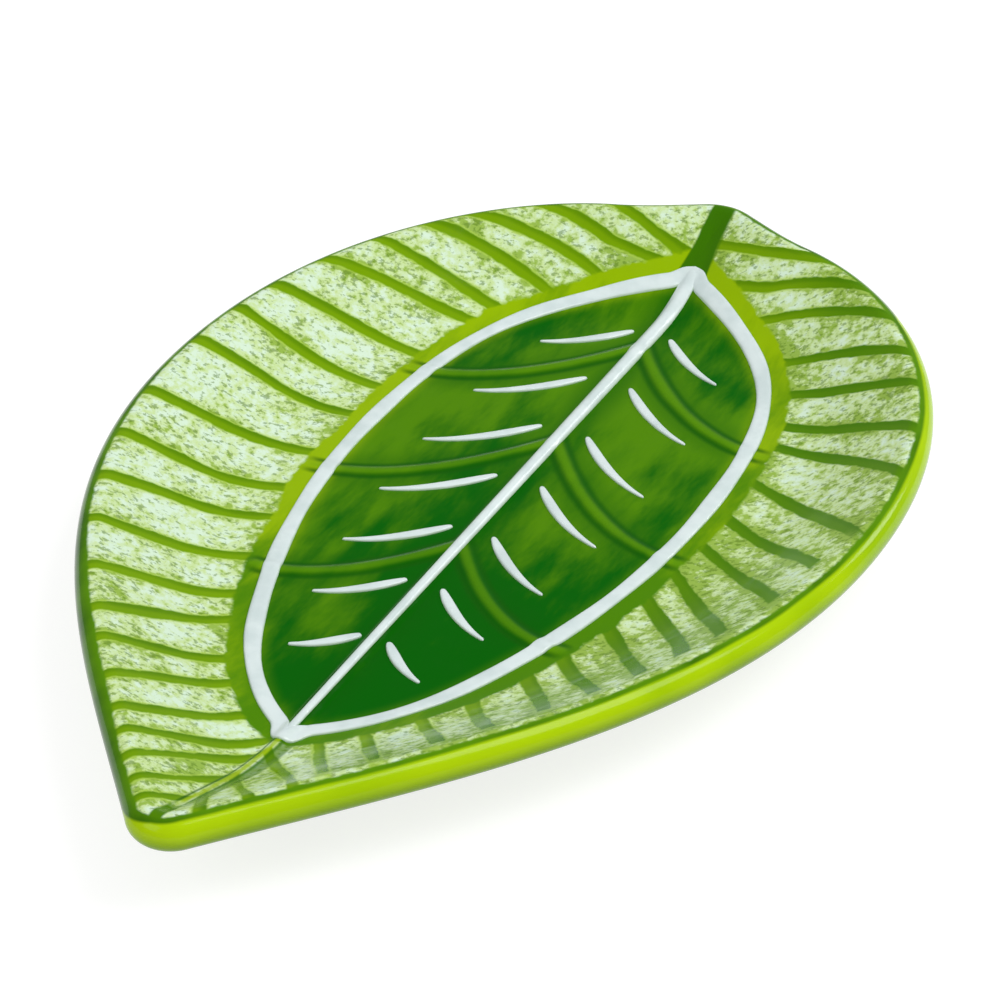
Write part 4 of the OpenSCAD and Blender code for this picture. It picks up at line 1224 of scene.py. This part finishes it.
floor_mesh = bpy.data.meshes.new("studio_floor")
corners = [(x * FLOOR_REACH, y * FLOOR_REACH, 0) for x, y in ((-1, -1), (1, -1), (1, 1), (-1, 1))]
floor_mesh.from_pydata(corners, [], [(0, 1, 2, 3)])
studio_floor = bpy.data.objects.new("studio_floor", floor_mesh)
bpy.context.scene.collection.objects.link(studio_floor)

floor_finish = bpy.data.materials.new("studio_paper")
floor_finish.use_nodes = True
tree = floor_finish.node_tree
tree.nodes.clear()
paper = add(tree, "BsdfDiffuse", {"Color": grey(SHADED)})
glow = add(tree, "Emission", {"Color": grey(1), "Strength": GLOW})
both_lit = add(tree, "AddShader", {0: paper.outputs[0], 1: glow.outputs[0]})
plain = add(tree, "BsdfDiffuse", {"Color": grey(PLAIN)})
choice = add(tree, "MixShader", {0: seen(tree), 1: plain.outputs[0], 2: both_lit.outputs[0]})
add(tree, "OutputMaterial", {"Surface": choice.outputs[0]})
floor_mesh.materials.append(floor_finish)
print("floor", 2 * FLOOR_REACH, "m wide")

# %% [markdown]
# The room lights the plate evenly from all round. In the glaze it shows as walls that are palest at
# the horizon, and straight to the camera it is white.

# %% Room
ROOM, HORIZON, CEILING = 0.55, 0.24, 0.14

world = bpy.data.worlds.new("studio_room")
bpy.context.scene.world = world
world.use_nodes = True
tree = world.node_tree
tree.nodes.clear()
room = add(tree, "Background", {"Color": grey(1), "Strength": ROOM})
height = parts_of(tree, add(tree, "TexCoord").outputs["Generated"])[2]
walls = calc(tree, "MAXIMUM", fade(tree, height, 0.0, 0.4, HORIZON, CEILING),
             add(tree, "LightPath").outputs["Is Camera Ray"])
white = add(tree, "Background", {"Color": grey(1), "Strength": walls})
mixed = add(tree, "MixShader", {0: seen(tree), 1: room.outputs[0], 2: white.outputs[0]})
add(tree, "OutputWorld", {"Surface": mixed.outputs[0]})
print("room light", ROOM)

# %% [markdown]
# Three soft lamps shape the plate: a key lamp from the near side, a fainter one from the tip's side,
# and a small one low down at the stem's end that draws the bright line along the lime lip.

# %% Lamps
def turn_to(thing, place, target):
    """Places a lamp or camera so that its -Z axis points from place to target and Y stays up: the
    columns are side, up and back, with back = (place - target) / length and side = Z x back."""
    back = (place - target) / np.linalg.norm(place - target)
    side = np.cross([0, 0, 1.0], back)
    side /= np.linalg.norm(side)
    up = np.cross(back, side)
    thing.matrix_world = Matrix([[side[i], up[i], back[i], place[i]] for i in range(3)] + [[0, 0, 0, 1]])


LIT = np.array([0, 0, 0.01])
for name, place, size, watts in (("key_lamp", (0.2, -0.8, 1.25), 0.8, 11),
                                 ("side_lamp", (-1.0, 0.5, 0.9), 0.7, 3),
                                 ("edge_lamp", (0.9, -0.57, 0.56), 0.26, 1.5)):
    lamp = bpy.data.lights.new(name, "AREA")
    lamp.size, lamp.energy = size, watts
    thing = bpy.data.objects.new(name, lamp)
    bpy.context.scene.collection.objects.link(thing)
    turn_to(thing, np.array(place), LIT)
    print(name, watts, "W")

# %% [markdown]
# The camera stands where the photograph was taken from: above, beyond the tip and to the near side of
# it, so the tip points to the left and to the viewer. Its place was worked out from the outline, as a
# direction from the point that it looks at.

# %% Camera
AIM = np.array([-3.9, -6.2, 18.0]) * MM
BACK = np.array([-0.751, -0.374, 0.545])
BACK /= np.linalg.norm(BACK)
CAMERA_AWAY = 0.65

camera = bpy.data.cameras.new("camera")
camera.lens, camera.sensor_width = 119.3, 36
camera.clip_start = 0.01
view = bpy.data.objects.new("camera", camera)
bpy.context.scene.collection.objects.link(view)
turn_to(view, AIM + CAMERA_AWAY * BACK, AIM)
bpy.context.scene.camera = view
bpy.context.scene.view_settings.view_transform = "Standard"
print("camera at", [round(float(v), 3) for v in AIM + CAMERA_AWAY * BACK])
